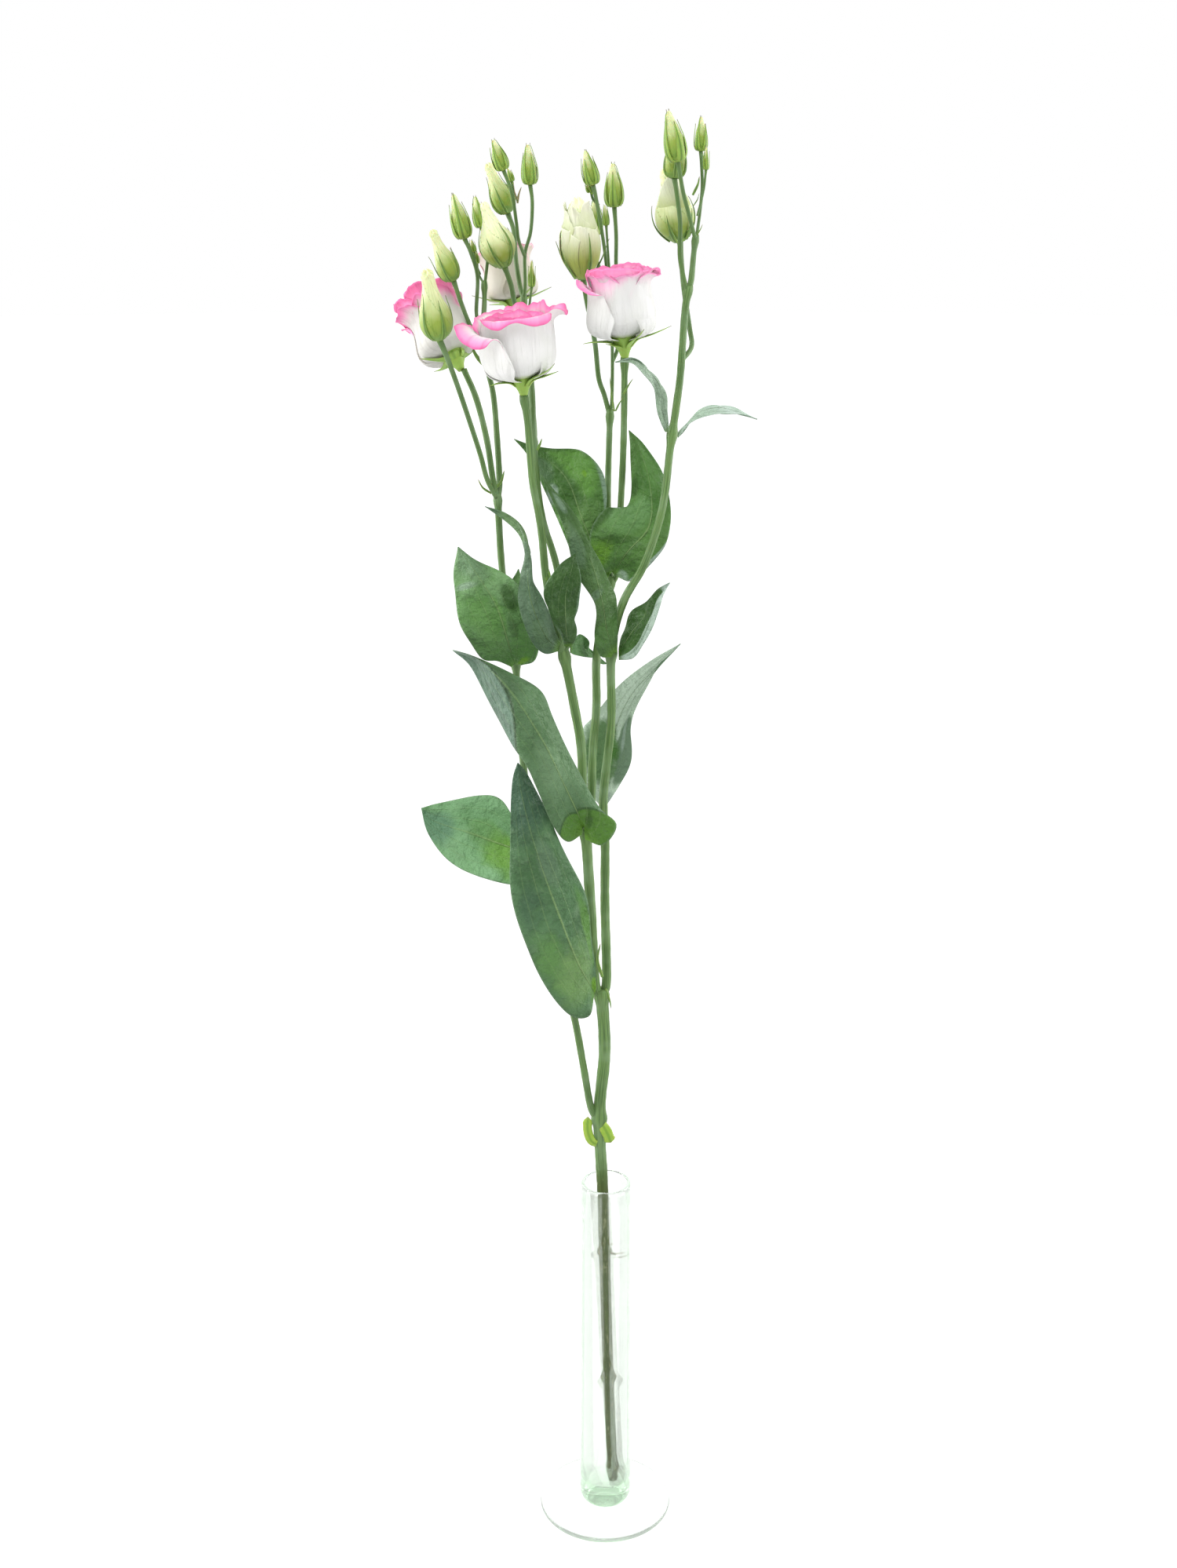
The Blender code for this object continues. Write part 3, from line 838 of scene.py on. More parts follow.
@dataclass
class Vase:
    """A blown glass tube with a heavy bottom, bonded to a flat round foot.

    Args:
        wall: The tube's wall.
        floor: How thick its bottom is.
        contact: The radius of the bond beneath it.
        edge: The rounding of the foot's edge.
        corner: The height of the tube's rounded lower corner.
        dish: The height of the curve between its wall and its bottom, inside.
        taper: How much less its radius is at the rim.
        sides: Points round it.
        finish: Its glass.
    """

    wall: float = 2.0
    floor: float = 12.3
    contact: float = 10.0
    edge: float = 1.3
    corner: float = 6.8
    dish: float = 6.0
    taper: float = 1.0
    sides: int = 112
    finish: GlassFinish = field(default_factory=GlassFinish)

    def outline(self) -> np.ndarray:
        """The turned outline, from under the foot, out, up and down inside.

        Returns:
            Rows of radius and height in millimetres.
        """
        foot, _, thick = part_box("vase_foot")[1] / MM
        base, _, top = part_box("vase_tube")[1] / MM
        rim, lip, edge, dish = base - self.taper, self.wall / 2, self.edge, self.dish
        quarter = np.linspace(0.0, math.pi / 2, 7)
        points = [(0.02, 0.0), (foot * 0.5, 0.0)]
        points += [(foot - edge + edge * math.sin(a), edge - edge * math.cos(a)) for a in quarter]
        points += [(foot - edge + edge * math.cos(a), thick - edge + edge * math.sin(a))
                   for a in quarter]
        points += [(r, thick) for r in (30.0, 20.0, self.contact + 1.6)]
        points += [(self.contact + 0.5, thick + 0.05), (self.contact, thick + 0.35)]
        points += [(self.contact - 0.4 + (base - self.contact + 0.4) * math.sin(a),
                    thick + 0.5 + self.corner * (1 - math.cos(a))) for a in quarter[1:]]
        points += [(base + (rim - base) * k, thick + 8 + (top - thick - 8 - lip) * k)
                   for k in np.linspace(0.05, 1.0, 14)]
        points += [(rim - lip + lip * math.cos(a), top - lip + lip * math.sin(a))
                   for a in np.linspace(0.0, math.pi, 11)[1:]]
        inner, bottom = base - self.wall, thick + self.floor
        points += [(rim - self.wall + (inner - rim + self.wall) * k,
                    top - lip - (top - lip - bottom - dish) * k) for k in np.linspace(0.1, 1, 14)]
        points += [(inner * math.cos(a), bottom + dish - dish * math.sin(a))
                   for a in quarter[1:-1]]
        points += [(inner * 0.12, bottom + 0.02), (0.02, bottom)]
        return np.array(points)

    def make(self) -> None:
        """Turn the glass and mount it."""
        radius, height = self.outline().T
        angle = ring(self.sides)
        grid = np.stack([radius[:, None] * np.cos(angle), radius[:, None] * np.sin(angle),
                         np.repeat(height[:, None], self.sides, 1)], axis=-1)
        shape = Shape()
        shape.tube(grid, {})
        mount(shape.build("vase_glass", self.finish.material("clear_glass")), Slot.GLASS,
              "vase_foot", "vase_tube")


# ---- stems


@dataclass
class Stem:
    """One stretch of round green stem.

    Args:
        name: The CAD node that it stands for.
        foot: Radius at its foot.
        head: Radius at its head.
        route: Its midline, from foot to head.
        root: A point inside the parent stem, where it grows out.
        knots: Swellings: height up the stem, extra radius and half length.
        sides: Points round it.
        step: The length of one step along it.
    """

    name: str
    foot: float
    head: float
    route: tuple[Point, ...]
    root: Point | None = None
    knots: tuple[tuple[float, float, float], ...] = ()
    sides: int = 16
    step: float = 2.0

    def line(self) -> np.ndarray:
        """The midline, closely stepped."""
        points = [self.root, *self.route] if self.root else list(self.route)
        rough = sum(math.dist(a, b) for a, b in zip(points, points[1:]))
        return curve_through(points, int(rough / self.step) + 4)

    def radius(self, line: np.ndarray) -> np.ndarray:
        """The radius at each point of the midline."""
        radius = self.foot + (self.head - self.foot) * even(len(line))
        radius = radius * (1 + 0.02 * np.sin(line[:, 2] * 0.31) + 0.015 * np.sin(line[:, 2] * 0.83))
        for height, swell, half in self.knots:
            radius = radius + swell * np.exp(-((line[:, 2] - height) / half) ** 2)
        return radius

    def make(self, material: Material) -> None:
        """Sweep the stem and mount it."""
        line = self.line()
        radius = self.radius(line)[:, None] * (1 + 0.035 * np.cos(4 * ring(self.sides)))
        shape = swept(line, radius, np.arange(len(line)) * self.step)
        mount(shape.build(self.name + "_grown", material), Slot.STEM, self.name)


# ---- leaves


# A crease past the left margin folds nothing; past a crease the blade drops by FOLD_DROP.
NOT_FOLDED = ((0.0, -2.0), (1.0, -2.0))
FOLD_DROP = (0.0, 14.0, -4.0)
SIDE_VEINS = (0.34, 0.66)


@dataclass(frozen=True)
class LeafHabit:
    """How one leaf looks and hangs.

    Args:
        finish: Its colours.
        upper: 1 if its upper face is the one between left and right as seen, else -1.
        wave: How far its margins wave, and how many waves.
        fold: Where the left part folds back, as a share across by share along.
    """

    finish: LeafFinish = LeafFinish()
    upper: int = 1
    wave: tuple[float, float] = (0.9, 2.5)
    fold: Curve = NOT_FOLDED


@dataclass
class Leaf:
    """One leaf blade, spanned between its two edges and its midrib.

    Args:
        name: The CAD node that it stands for.
        left: The left edge from base to tip.
        rib: The midrib.
        right: The right edge.
        tip: The tip that all three reach.
        habit: How it looks and hangs.
        number: A number of its own, which sets its waves and its pattern apart.
        rows: Points along it.
        columns: Points across it.
        thickness: Its thickness at the midrib.
    """

    name: str
    left: tuple[Point, ...]
    rib: tuple[Point, ...]
    right: tuple[Point, ...]
    tip: Point
    habit: LeafHabit
    number: int
    rows: int = 84
    columns: int = 33
    thickness: float = 0.55

    def grid(self) -> tuple[np.ndarray, np.ndarray, np.ndarray]:
        """The blade's middle surface, with each point's share along and across.

        Returns:
            The grid, the shares along and the shares across.
        """
        habit, phase = self.habit, 1.7 * self.number
        along = np.linspace(0.0, 0.998, self.rows)
        a, b, c = (even_steps(curve_through([*route, self.tip], 160), along)[:, None]
                   for route in (self.left, self.rib, self.right))
        s = np.linspace(-1.0, 1.0, self.columns)[None, :, None]
        bowed = a * s * (s - 1) / 2 + b * (1 - s * s) + c * s * (s + 1) / 2
        straight = np.where(s < 0, b + (a - b) * -s, b + (c - b) * s)
        grid = 0.55 * bowed + 0.45 * straight
        across = np.repeat(s[..., 0], self.rows, 0)
        shares = np.repeat(along[:, None], self.columns, 1)
        normal = unit(np.cross(np.gradient(grid, axis=1), np.gradient(grid, axis=0)))
        size, turns = habit.wave
        fade = np.sin(math.pi * np.clip(shares, 0, 1)) ** 0.7
        side = np.sign(across)
        swell = size * fade * across**2 * np.sin(math.tau * turns * shares + phase + side)
        swell += 0.9 * fade * np.sin(7.5 * shares + 2.6 * across + phase)
        swell += 0.4 * fade * np.sin(17 * shares - 5 * across + 2 * phase)
        groove = -0.35 * habit.upper * np.exp(-(across / 0.07) ** 2) * (1 - shares)
        ribs = sum(-0.14 * habit.upper * np.exp(-((np.abs(across) - line) / 0.035) ** 2) * fade
                   for line in SIDE_VEINS)
        back = np.clip(profile(habit.fold, along)[:, None] - across, 0, 1)
        grid = grid + normal * (swell + groove + ribs)[..., None]
        return grid + back[..., None] * np.array(FOLD_DROP), shares, across

    def make(self) -> None:
        """Build the blade and mount it."""
        grid, shares, across = self.grid()
        rib = np.exp(-(across / 0.06) ** 2) * (1 - shares)
        thickness = self.thickness * (1 - 0.5 * across**4) + 0.9 * rib
        crease = profile(self.habit.fold, shares[:, 0])[:, None]
        values = {"along": shares, "across": across,
                  "fold": np.clip((crease - across) / 0.12, 0, 1)}
        if self.habit.upper < 0:
            grid, values = grid[:, ::-1], {k: v[:, ::-1] for k, v in values.items()}
            thickness = thickness[:, ::-1]
        shape = Shape()
        shape.sheet(grid, thickness, values)
        finish = replace(self.habit.finish, seed=0.31 * self.number)
        mount(shape.build(self.name + "_blade", finish.material(self.name + "_green")),
              Slot.LEAF, self.name)


# ---- buds


class Ripeness(Enum):
    """How far a bud has come: the share that its cream has crept down."""

    GREEN = -0.1
    TURNING = 0.06
    CREAM = 0.14


@dataclass(frozen=True)
class Stand:
    """A local frame: a foot, an axis, and two directions across with -y towards the front."""

    foot: np.ndarray
    x: np.ndarray
    y: np.ndarray
    z: np.ndarray

    @staticmethod
    def between(foot: Point, head: Point) -> tuple[Stand, float]:
        """Stand at one point with the axis through another.

        Args:
            foot: Where it stands.
            head: Where the axis goes through.

        Returns:
            The stand, and the distance between the two points.
        """
        start = np.array(foot, float)
        axis = np.array(head, float) - start
        z = unit(axis)
        x = unit(np.array((1.0, 0.0, 0.0)) - z * z[0])
        return Stand(start, x, np.cross(z, x), z), float(np.linalg.norm(axis))

    def out(self, turn: np.ndarray, radius: np.ndarray, height: np.ndarray) -> np.ndarray:
        """Points round the stand's axis.

        Args:
            turn: Turns in radians.
            radius: Distances from the axis.
            height: Heights above the foot.

        Returns:
            The points.
        """
        reach, across = radius * np.cos(turn), radius * np.sin(turn)
        return (self.foot + reach[..., None] * self.x + across[..., None] * self.y
                + height[..., None] * self.z)


# Points along and across a petal, coarser in the crowded whorls; then its width along it.
OUTER_GRID = (46, 45)
CROWDED_GRID = (32, 31)
SPATULATE = ((0, 0.24), (0.12, 0.52), (0.25, 0.74), (0.45, 0.92), (0.75, 1.0), (1.0, 0.98))


@dataclass(frozen=True)
class Petal:
    """One petal, as a sheet that climbs from the calyx and opens at its margin.

    Args:
        turn: Where its middle stands round the flower, in degrees; -90 is the front.
        length: From its foot to its margin along the midline.
        width: Half its width at the widest.
        climb: Stops of its midline's slope, by share of the length: 0 is out and 90 is up.
        curl: How far its margin rolls outward in degrees, by place from side to side.
        lip: The share of the length where that roll begins.
        margin: Its length as a share of the midline's, by place from side to side.
        lean: How far one side stands outside its neighbour.
        ruffle: How far its margin waves.
        waves: Half waves across it.
        phase: Where they start.
        ragged: How uneven its outline is.
        foot: Radius and height where it starts.
        blush: How far its outer face is brushed with colour, by place from side to side.
    """

    turn: float
    length: float
    width: float
    climb: Curve
    curl: Curve = ((-1.0, 20.0), (1.0, 20.0))
    lip: float = 0.74
    margin: Curve = ((-1.0, 0.84), (-0.6, 0.97), (0.0, 1.0), (0.6, 0.97), (1.0, 0.84))
    lean: float = 0.9
    ruffle: float = 0.6
    waves: float = 2.0
    phase: float = 0.0
    ragged: float = 0.008
    foot: tuple[float, float] = (2.4, 7.5)
    blush: Curve = ((-1.0, 1.0), (1.0, 1.0))

    def sheet(self, shape: Shape, stand: Stand, number: int,
              size: tuple[int, int] = OUTER_GRID) -> None:
        """Add the petal to a shape.

        Args:
            shape: The whorl that it belongs to.
            stand: The flower's frame.
            number: A number of its own, which sets its streaks apart.
            size: Points along and across it.
        """
        rows, columns = size
        across = np.linspace(-1.0, 1.0, columns)
        s, t = across[None], even(rows)[:, None]
        outline = (profile(self.margin, across)[None]
                   + self.ragged * (np.sin(7.1 * s + 2 * self.phase)
                                    + 0.7 * np.sin(17.7 * s + self.phase)
                                    + 0.5 * np.sin(31.0 * s)))
        share = t * outline
        opening = np.clip((share - self.lip) / np.maximum(outline - self.lip, 0.05), 0, 1)
        slope = np.radians(profile(self.climb, share) - profile(self.curl, across)[None] * opening)
        step = self.length * outline / (rows - 1)
        radius = self.foot[0] + np.cumsum(np.cos(slope) * step, axis=0)
        height = self.foot[1] + np.cumsum(np.sin(slope) * step, axis=0)
        half = self.width * profile(SPATULATE, share)
        mid = np.maximum(radius.mean(1, keepdims=True), 2.6)
        turn = math.radians(self.turn) + s * half / mid
        wave = self.ruffle * share**5 * (
            np.sin(self.waves * math.pi * s + self.phase)
            + 0.3 * np.sin(2.3 * self.waves * math.pi * s + 2.1 * self.phase))
        radius = radius + self.lean * s * np.clip(share * 3, 0, 1) + wave * np.sin(slope)
        height = height - wave * np.cos(slope)
        top = (1 - t) * outline * self.length
        flank = (1 - np.abs(s)) * half + np.maximum(0.0, 0.74 - share) * 60.0
        thickness = 0.42 - 0.2 * share
        shape.sheet(stand.out(turn, radius, height), thickness, {
            "along": share, "across": s + 0 * share, "rim": np.minimum(top, flank),
            "blush": profile(self.blush, across)[None] + 0 * share,
            "petal": np.full(share.shape, float(number))})


OPENING_FINISH = PetalFinish(white=(0.85, 0.87, 0.72), cream=(0.62, 0.7, 0.36),
                             green=(0.38, 0.47, 0.09), green_reach=1.0, green_start=0.35,
                             through=0.14, strength=0.0)


# A bud's radius along it, as a share of its greatest.
PLUMP = ((0.0, 0.42), (0.05, 0.7), (0.14, 0.92), (0.3, 1.0), (0.48, 0.92), (0.66, 0.7),
         (0.8, 0.48), (0.91, 0.32), (0.97, 0.2), (1.0, 0.05))
SEPALS = 5


@dataclass(frozen=True)
class BudHabit:
    """How one bud looks.

    Args:
        ripeness: How far it has come.
        outline: Its radius along its length, as a share of the greatest.
        sepal_length: The sepals' length as a share of the bud's.
        spread: How far the sepals' tips stand off, in millimetres.
        twist: Turns that its seams make from base to tip.
        wraps: Loose petals round it.
    """

    ripeness: Ripeness = Ripeness.GREEN
    outline: Curve = PLUMP
    sepal_length: float = 0.94
    spread: float = 0.8
    twist: float = 0.55
    wraps: tuple[Petal, ...] = ()


@dataclass
class Bud:
    """A furled bud on its stalk, held by a calyx of five keeled sepals.

    Args:
        name: Its name; with a CAD node of that name, it stands for it.
        route: The stalk's midline, from inside the parent stem to the bud's base.
        tip: The bud's tip.
        size: Its greatest radius.
        habit: How it looks.
        turn: Where the first sepal stands, in degrees.
        stalk: The stalk's radius.
        solid: Whether CAD has a node of its name.
        seam_depth: How far a petal stands over the next, as a share of the radius.
    """

    name: str
    route: tuple[Point, ...]
    tip: Point
    size: float
    habit: BudHabit
    turn: float
    stalk: float
    solid: bool
    seam_depth: float = 0.085

    def body(self, stand: Stand, length: float) -> Shape:
        """The furled petals: one closed form with overlapping spiral seams.

        Args:
            stand: The bud's frame.
            length: Its length.

        Returns:
            The shape.
        """
        share, angle = even(56)[:, None], ring(70)[None]
        phase = SEPALS * (angle / math.tau + self.habit.twist * share**1.3) % 1.0
        lap = phase**1.6 - np.clip((phase - 0.93) / 0.07, 0, 1)
        depth = self.seam_depth * profile(((0, 0), (0.25, 0.35), (0.6, 1), (1, 1.3)), share)
        radius = self.size * profile(self.habit.outline, share) * (1 + depth * lap)
        ragged = 1 + 0.03 * share**6 * np.sin(SEPALS * angle + 1.0)
        shape = Shape()
        shape.tube(stand.out(angle + 0 * share, radius, length * share * ragged), {
            "along": share + 0 * angle, "around": np.abs(angle / math.pi - 1) + 0 * share,
            "seam": phase})
        return shape

    def sepals(self, stand: Stand, length: float) -> Shape:
        """The calyx: a snug green cup and five needles that lie along the bud."""
        habit, cup = self.habit, 0.15
        share, angle = np.linspace(0.0, cup, 9)[:, None], ring(40)[None]
        ribs = 0.16 * np.cos(SEPALS * (angle - math.radians(self.turn)))
        snug = (self.size * profile(habit.outline, share) + 0.22 + ribs
                - 0.35 * (share / cup) ** 4)
        shape = Shape()
        drop = np.linspace(-0.5, 0.0, 3)[:, None]
        foot = np.vstack([np.full((1, 1), self.stalk * 0.9), np.full((2, 1), self.stalk * 1.15)])
        grid_height = np.vstack([drop * 3.0, length * share])
        grid_radius = np.vstack([foot + 0 * angle, snug])
        shape.tube(stand.out(angle + 0 * grid_height, grid_radius, grid_height + 0 * angle),
                   {"along": 0.2 + 0 * grid_radius, "across": np.ones_like(grid_radius)})
        young = habit.ripeness is Ripeness.GREEN
        broad = 0.42 * self.size + 0.3 if young else 0.1 * self.size + 0.42
        t = even(20)
        for k in range(SEPALS):
            lean = math.radians(self.turn + 72.0 * k + 7.0 * math.sin(2.4 * k + self.size))
            reach = habit.sepal_length * (1 + 0.13 * math.sin(3.1 * k + habit.twist * 9))
            climb = 0.03 + (reach - 0.03) * t
            off = (1.3 if habit.wraps else 0.3) + (
                habit.spread * t**3 * (1 + 0.5 * math.sin(4.0 * k)))
            radius = self.size * profile(habit.outline, np.clip(climb, 0, 1)) + off
            turn = lean + 0.12 * t * math.sin(5.0 * k + 1)
            line = stand.out(turn, radius, length * climb)
            facing = stand.out(np.array(lean), np.array(1.0), np.array(0.0)) - stand.foot
            width = broad * profile(((0, 1.0), (0.3, 0.85), (0.65, 0.42), (1, 0.07)), t)
            needle(shape, line, tuple(facing), width, (0.16 if young else 0.3) * width + 0.18)
        return shape

    def make(self, stem: Material, sepal: Material) -> None:
        """Build the bud, its calyx and its stalk, and mount them."""
        nodes = (self.name,) if self.solid else ()
        stand, length = Stand.between(self.route[-1], self.tip)
        finish = BudFinish(ripeness=self.habit.ripeness.value)
        if self.habit.ripeness is Ripeness.CREAM:
            finish = replace(finish, tip=(0.8, 0.84, 0.54), middle=(0.255, 0.345, 0.044))
        mount(self.body(stand, length).build(self.name + "_petals",
                                             finish.material(self.name + "_skin")),
              Slot.BUD, *nodes)
        mount(self.sepals(stand, length).build(self.name + "_sepals", sepal), Slot.CALYX, *nodes)
        if self.habit.wraps:
            shape = Shape()
            for number, petal in enumerate(self.habit.wraps):
                petal.sheet(shape, stand, number)
            mount(shape.build(self.name + "_loose_petals",
                              OPENING_FINISH.material(self.name + "_loose")), Slot.BUD, *nodes)
        line = curve_through(self.route, 12 * len(self.route))
        t = even(len(line))
        thick = self.stalk * (1 + 0.25 * np.exp(-((t - 1) / 0.06) ** 2))[:, None]
        mount(swept(line, thick * np.ones(12), t * 40.0).build(self.name + "_stalk", stem),
              Slot.STEM, *nodes)


# ---- open flowers


# Slopes of the inner petals, then the calyx cup's radius and a sepal's width along them.
INNER_CUP = ((0.0, 50.0), (0.2, 62.0), (0.5, 84.0), (0.8, 92.0), (1.0, 72.0))
FURLED = ((0.0, 78.0), (0.3, 80.0), (0.7, 94.0), (1.0, 86.0))
CALYX_CUP = ((0, 1.8), (0.3, 3.0), (0.5, 4.4), (0.75, 5.5), (1, 6.4))
SEPAL_STEPS = 30
SEPAL_WIDTH = ((0, 0.8), (0.2, 1.0), (0.45, 0.64), (0.75, 0.34), (1, 0.06))


@dataclass
class Flower:
    """An open double flower: outer petals, inner whorls and a rolled heart, on its calyx.

    Args:
        name: The stem of its CAD nodes' names.
        foot: The calyx's foot.
        mouth: The middle of the mouth.
        size: The body's radius.
        outer: The outer petals, one by one.
        sepals: Turn, length and rise in degrees of each sepal.
        finish: Its colours.
        deep: The length of the inner petals as a share of the flower's height.
        inner_blush: How far the inner petals are brushed with colour.
        seed: A number of its own, which sets its whorls apart.
    """

    name: str
    foot: Point
    mouth: Point
    size: float
    outer: tuple[Petal, ...]
    sepals: tuple[tuple[float, float, float], ...]
    finish: PetalFinish = field(default_factory=PetalFinish)
    deep: float = 0.88
    inner_blush: float = 2.5
    seed: float = 0.0

    def whorl(self, count: int, scale: float, length: float, start: float) -> list[Petal]:
        """The petals of an inner whorl.

        Args:
            count: How many.
            scale: Their place, as a share of the body's radius.
            length: Their length.
            start: Where the first stands, in degrees.

        Returns:
            The petals.
        """
        petals = []
        for k in range(count):
            jolt = math.sin(12.9 * k + 78.2 * scale + self.seed)
            petals.append(Petal(
                start + 360.0 / count * k + 9.0 * jolt, length * (1 + 0.06 * jolt),
                self.size * scale * math.tau / count * 0.86, INNER_CUP,
                curl=((-1, 20 * scale), (0, (34 + 16 * jolt) * scale), (1, 20 * scale)),
                lean=1.1 * scale,
                ruffle=0.55 * scale + 0.2, waves=2.4 + jolt, phase=3 * jolt + k,
                blush=((-1, self.inner_blush), (1, self.inner_blush)),
                foot=(self.size * scale * 0.42, 9.0 + 2.5 * (1 - scale))))
        return petals

    def heart(self, length: float) -> list[Petal]:
        """The rolled petals in the middle."""
        petals = []
        for k in range(3):
            petals.append(Petal(
                120.0 * k + 40 + 30 * self.seed, length * (1 - 0.05 * k), self.size * 0.36,
                FURLED, curl=((-1, 8), (1, 8)), lean=1.3, ruffle=0.35, phase=1.3 * k,
                foot=(1.0 + 0.4 * k, 10.0)))
        return petals

    def calyx(self, stand: Stand) -> Shape:
        """The green cup and its five spreading sepals."""
        t, angle = even(12)[:, None], ring(40)[None]
        turns = np.radians([turn for turn, _, _ in self.sepals])
        near = np.exp(-(np.abs((angle[..., None] - turns + math.pi) % math.tau - math.pi)
                        / 0.36) ** 2).max(-1)
        radius = profile(CALYX_CUP, t) * (1 + 0.06 * near)
        height = -1.5 + t * (10.4 + 2.0 * near)
        shape = Shape()
        shape.tube(stand.out(angle + 0 * t, radius, height),
                   {"along": 0.3 * t + 0 * angle, "across": 1 - 0.6 * near + 0 * t})
        for number, (turn, length, rise) in enumerate(self.sepals):
            along = even(SEPAL_STEPS)
            slope = np.radians(profile(((0, 54), (0.14, 46), (0.3, max(14, 1.6 * rise - 40)),
                                        (0.6, 0.4 * rise + 8), (1, rise)), along))
            step = (length + 4.0) / (SEPAL_STEPS - 1)
            reach = 3.5 + np.cumsum(np.cos(slope) * step)
            climb = 3.6 + np.cumsum(np.sin(slope) * step)
            swing = math.radians(turn) + 0.1 * np.sin(2.5 * along + number) * along
            line = stand.out(swing, reach, climb)
            facing = -stand.z + 0.4 * stand.x * math.cos(math.radians(turn))
            width = 3.2 * profile(SEPAL_WIDTH, along)
            needle(shape, line, tuple(facing), width, 0.22 * width + 0.14, 10)
        return shape

    def make(self, sepal: Material) -> None:
        """Build the calyx and the whorls, and mount them."""
        stand, height = Stand.between(self.foot, self.mouth)
        material = self.finish.material(self.name + "_petal")
        node = self.name + "_outer_petals"
        core = self.name + "_inner_petals"
        whorls = {
            "outer": (self.outer, Slot.PETAL, node),
            "middle": (self.whorl(5, 0.8, self.deep * height, 20 + self.seed * 40), Slot.PETAL,
                       core),
            "inner": (self.whorl(5, 0.55, 0.94 * self.deep * height, 50 + self.seed * 60),
                      Slot.PINK, core),
            "heart": (self.heart(0.84 * self.deep * height), Slot.PINK, core),
        }
        number = 0
        for part, (petals, slot, stood) in whorls.items():
            shape = Shape()
            size = OUTER_GRID if part == "outer" else CROWDED_GRID
            for petal in petals:
                petal.sheet(shape, stand, number, size)
                number += 1
            mount(shape.build(f"{self.name}_{part}_whorl", material), slot, stood)
        mount(self.calyx(stand).build(self.name + "_green_calyx", sepal), Slot.CALYX,
              self.name + "_calyx")


# ---- bracts


@dataclass(frozen=True)
class Bract:
    """A small bract, hair, stub or remnant of a leaf.

    Args:
        route: Its midline from base to tip.
        width: Half its width near the base.
        thick: Half its thickness there.
        facing: The direction that its keel faces.
    """

    route: tuple[Point, ...]
    width: float = 0.6
    thick: float = 0.3
    facing: Point = (0.3, -1.0, 0.2)

    def add(self, shape: Shape) -> None:
        """Add the bract to a shape that holds many."""
        line = curve_through(self.route, 12)
        share = even(len(line))
        blunt = 0.55 + 0.4 * min(1.0, self.width / 3.0)
        taper = profile(((0, 0.8), (0.3, 1.0), (0.7, blunt), (0.9, blunt**2), (1, 0.08)), share)
        needle(shape, line, self.facing, self.width * taper, self.thick * taper + 0.05)


# ---- the plant's routes

# Radius at the foot and head, then the route from foot to head, all in millimetres.
STEMS = {
    "stem_main": (3, 3.4, [(5, -1, 16), (4, 0, 35), (2, 1, 84), (0, 2, 146), (-2, 4, 215),
        (-4, 6, 262), (-1, 6, 303), (-3, 6, 342)]),
    "stem_left": (2, 1.7, [(-9, 5, 268), (-13, 2, 294), (-18, 0, 325), (-28, 3, 372), (-38, 8, 420),
        (-45, 10, 463), (-49, 9, 508), (-50, 8, 535), (-56, 4, 582), (-58, 0, 626)]),
    "stem_middle": (3, 2.7, [(-7, 4, 348), (-9, -3, 393), (-12, -8, 446)]),
    "stem_right": (2.6, 1.8, [(0, 8, 348), (-1, 12, 392), (-1, 12, 427), (-2, 9, 457), (2, 2, 501),
        (2, -5, 543), (8, -10, 570), (19, -12, 591), (28, -11, 620), (32, -6, 651), (35, -3, 672),
        (37, 0, 688), (39, 4, 718), (41, 5, 731)]),
    "stem_front": (2.4, 2.4, [(-14, -10, 452), (-14, -10, 487), (-18, -11, 514), (-24, -12, 546)]),
    "stem_back": (2.2, 2.2, [(-9, -5, 452), (-8, 0, 484), (-6, 4, 510), (-6, 9, 534), (-3, 12, 556),
        (2, 15, 579)]),
    "stem_front_tip": (1.9, 1.3, [(-22, -9, 552), (-27, -3, 587), (-34, 3, 610), (-37, 7, 628),
        (-39, 12, 652), (-40, 16, 680), (-43, 19, 706), (-44, 22, 726)]),
    "stem_back_tip": (1.8, 1.5, [(1, 17, 583), (0, 16, 620), (1, 14, 668)]),
    "stem_left_tip": (1.6, 1.2, [(-57, 3, 632), (-58, 6, 653), (-60, 9, 677), (-65, 12, 699),
        (-64, 15, 722), (-64, 16, 733)]),
    "stem_right_tip": (1.5, 1.3, [(42, 5, 734), (43, 5, 746), (44, 4, 756)]),
    "stalk_front_flower": (2, 1.8, [(-26, -15, 553), (-32, -14, 580), (-35, -15, 611),
        (-39, -17, 635), (-41, -20, 664), (-43, -22, 679)]),
    "stalk_right_flower": (1.7, 1.6, [(5, 14, 584), (7, 12, 622), (8, 2, 656), (8, -12, 697)]),
    "stalk_left_flower": (1.5, 1.5, [(-60, -1, 632), (-63, -2, 654), (-68, -3, 675),
        (-74, -5, 690)]),
    "stalk_back_flower": (1.5, 1.5, [(-39, 17, 658), (-41, 27, 676), (-45, 40, 694),
        (-49, 50, 713)]),
}

# A point inside the parent, where a side stem grows out of it.
ROOTS = {
    "stem_left": (-4.4, 6, 258), "stem_middle": (-3.6, 5.6, 338), "stem_right": (-2.2, 6.6, 338),
    "stem_front": (-12.2, -8.2, 444), "stem_back": (-11.6, -7.6, 444),
    "stem_front_tip": (-23.4, -11.4, 543), "stalk_front_flower": (-23.8, -12.2, 543),
    "stem_back_tip": (1.7, 14.6, 575), "stalk_right_flower": (2.2, 14.6, 575),
    "stem_left_tip": (-57.8, 0.6, 623), "stalk_left_flower": (-58, -0.2, 623),
    "stem_right_tip": (40.8, 5, 729), "stalk_back_flower": (-39, 12.6, 651),
}

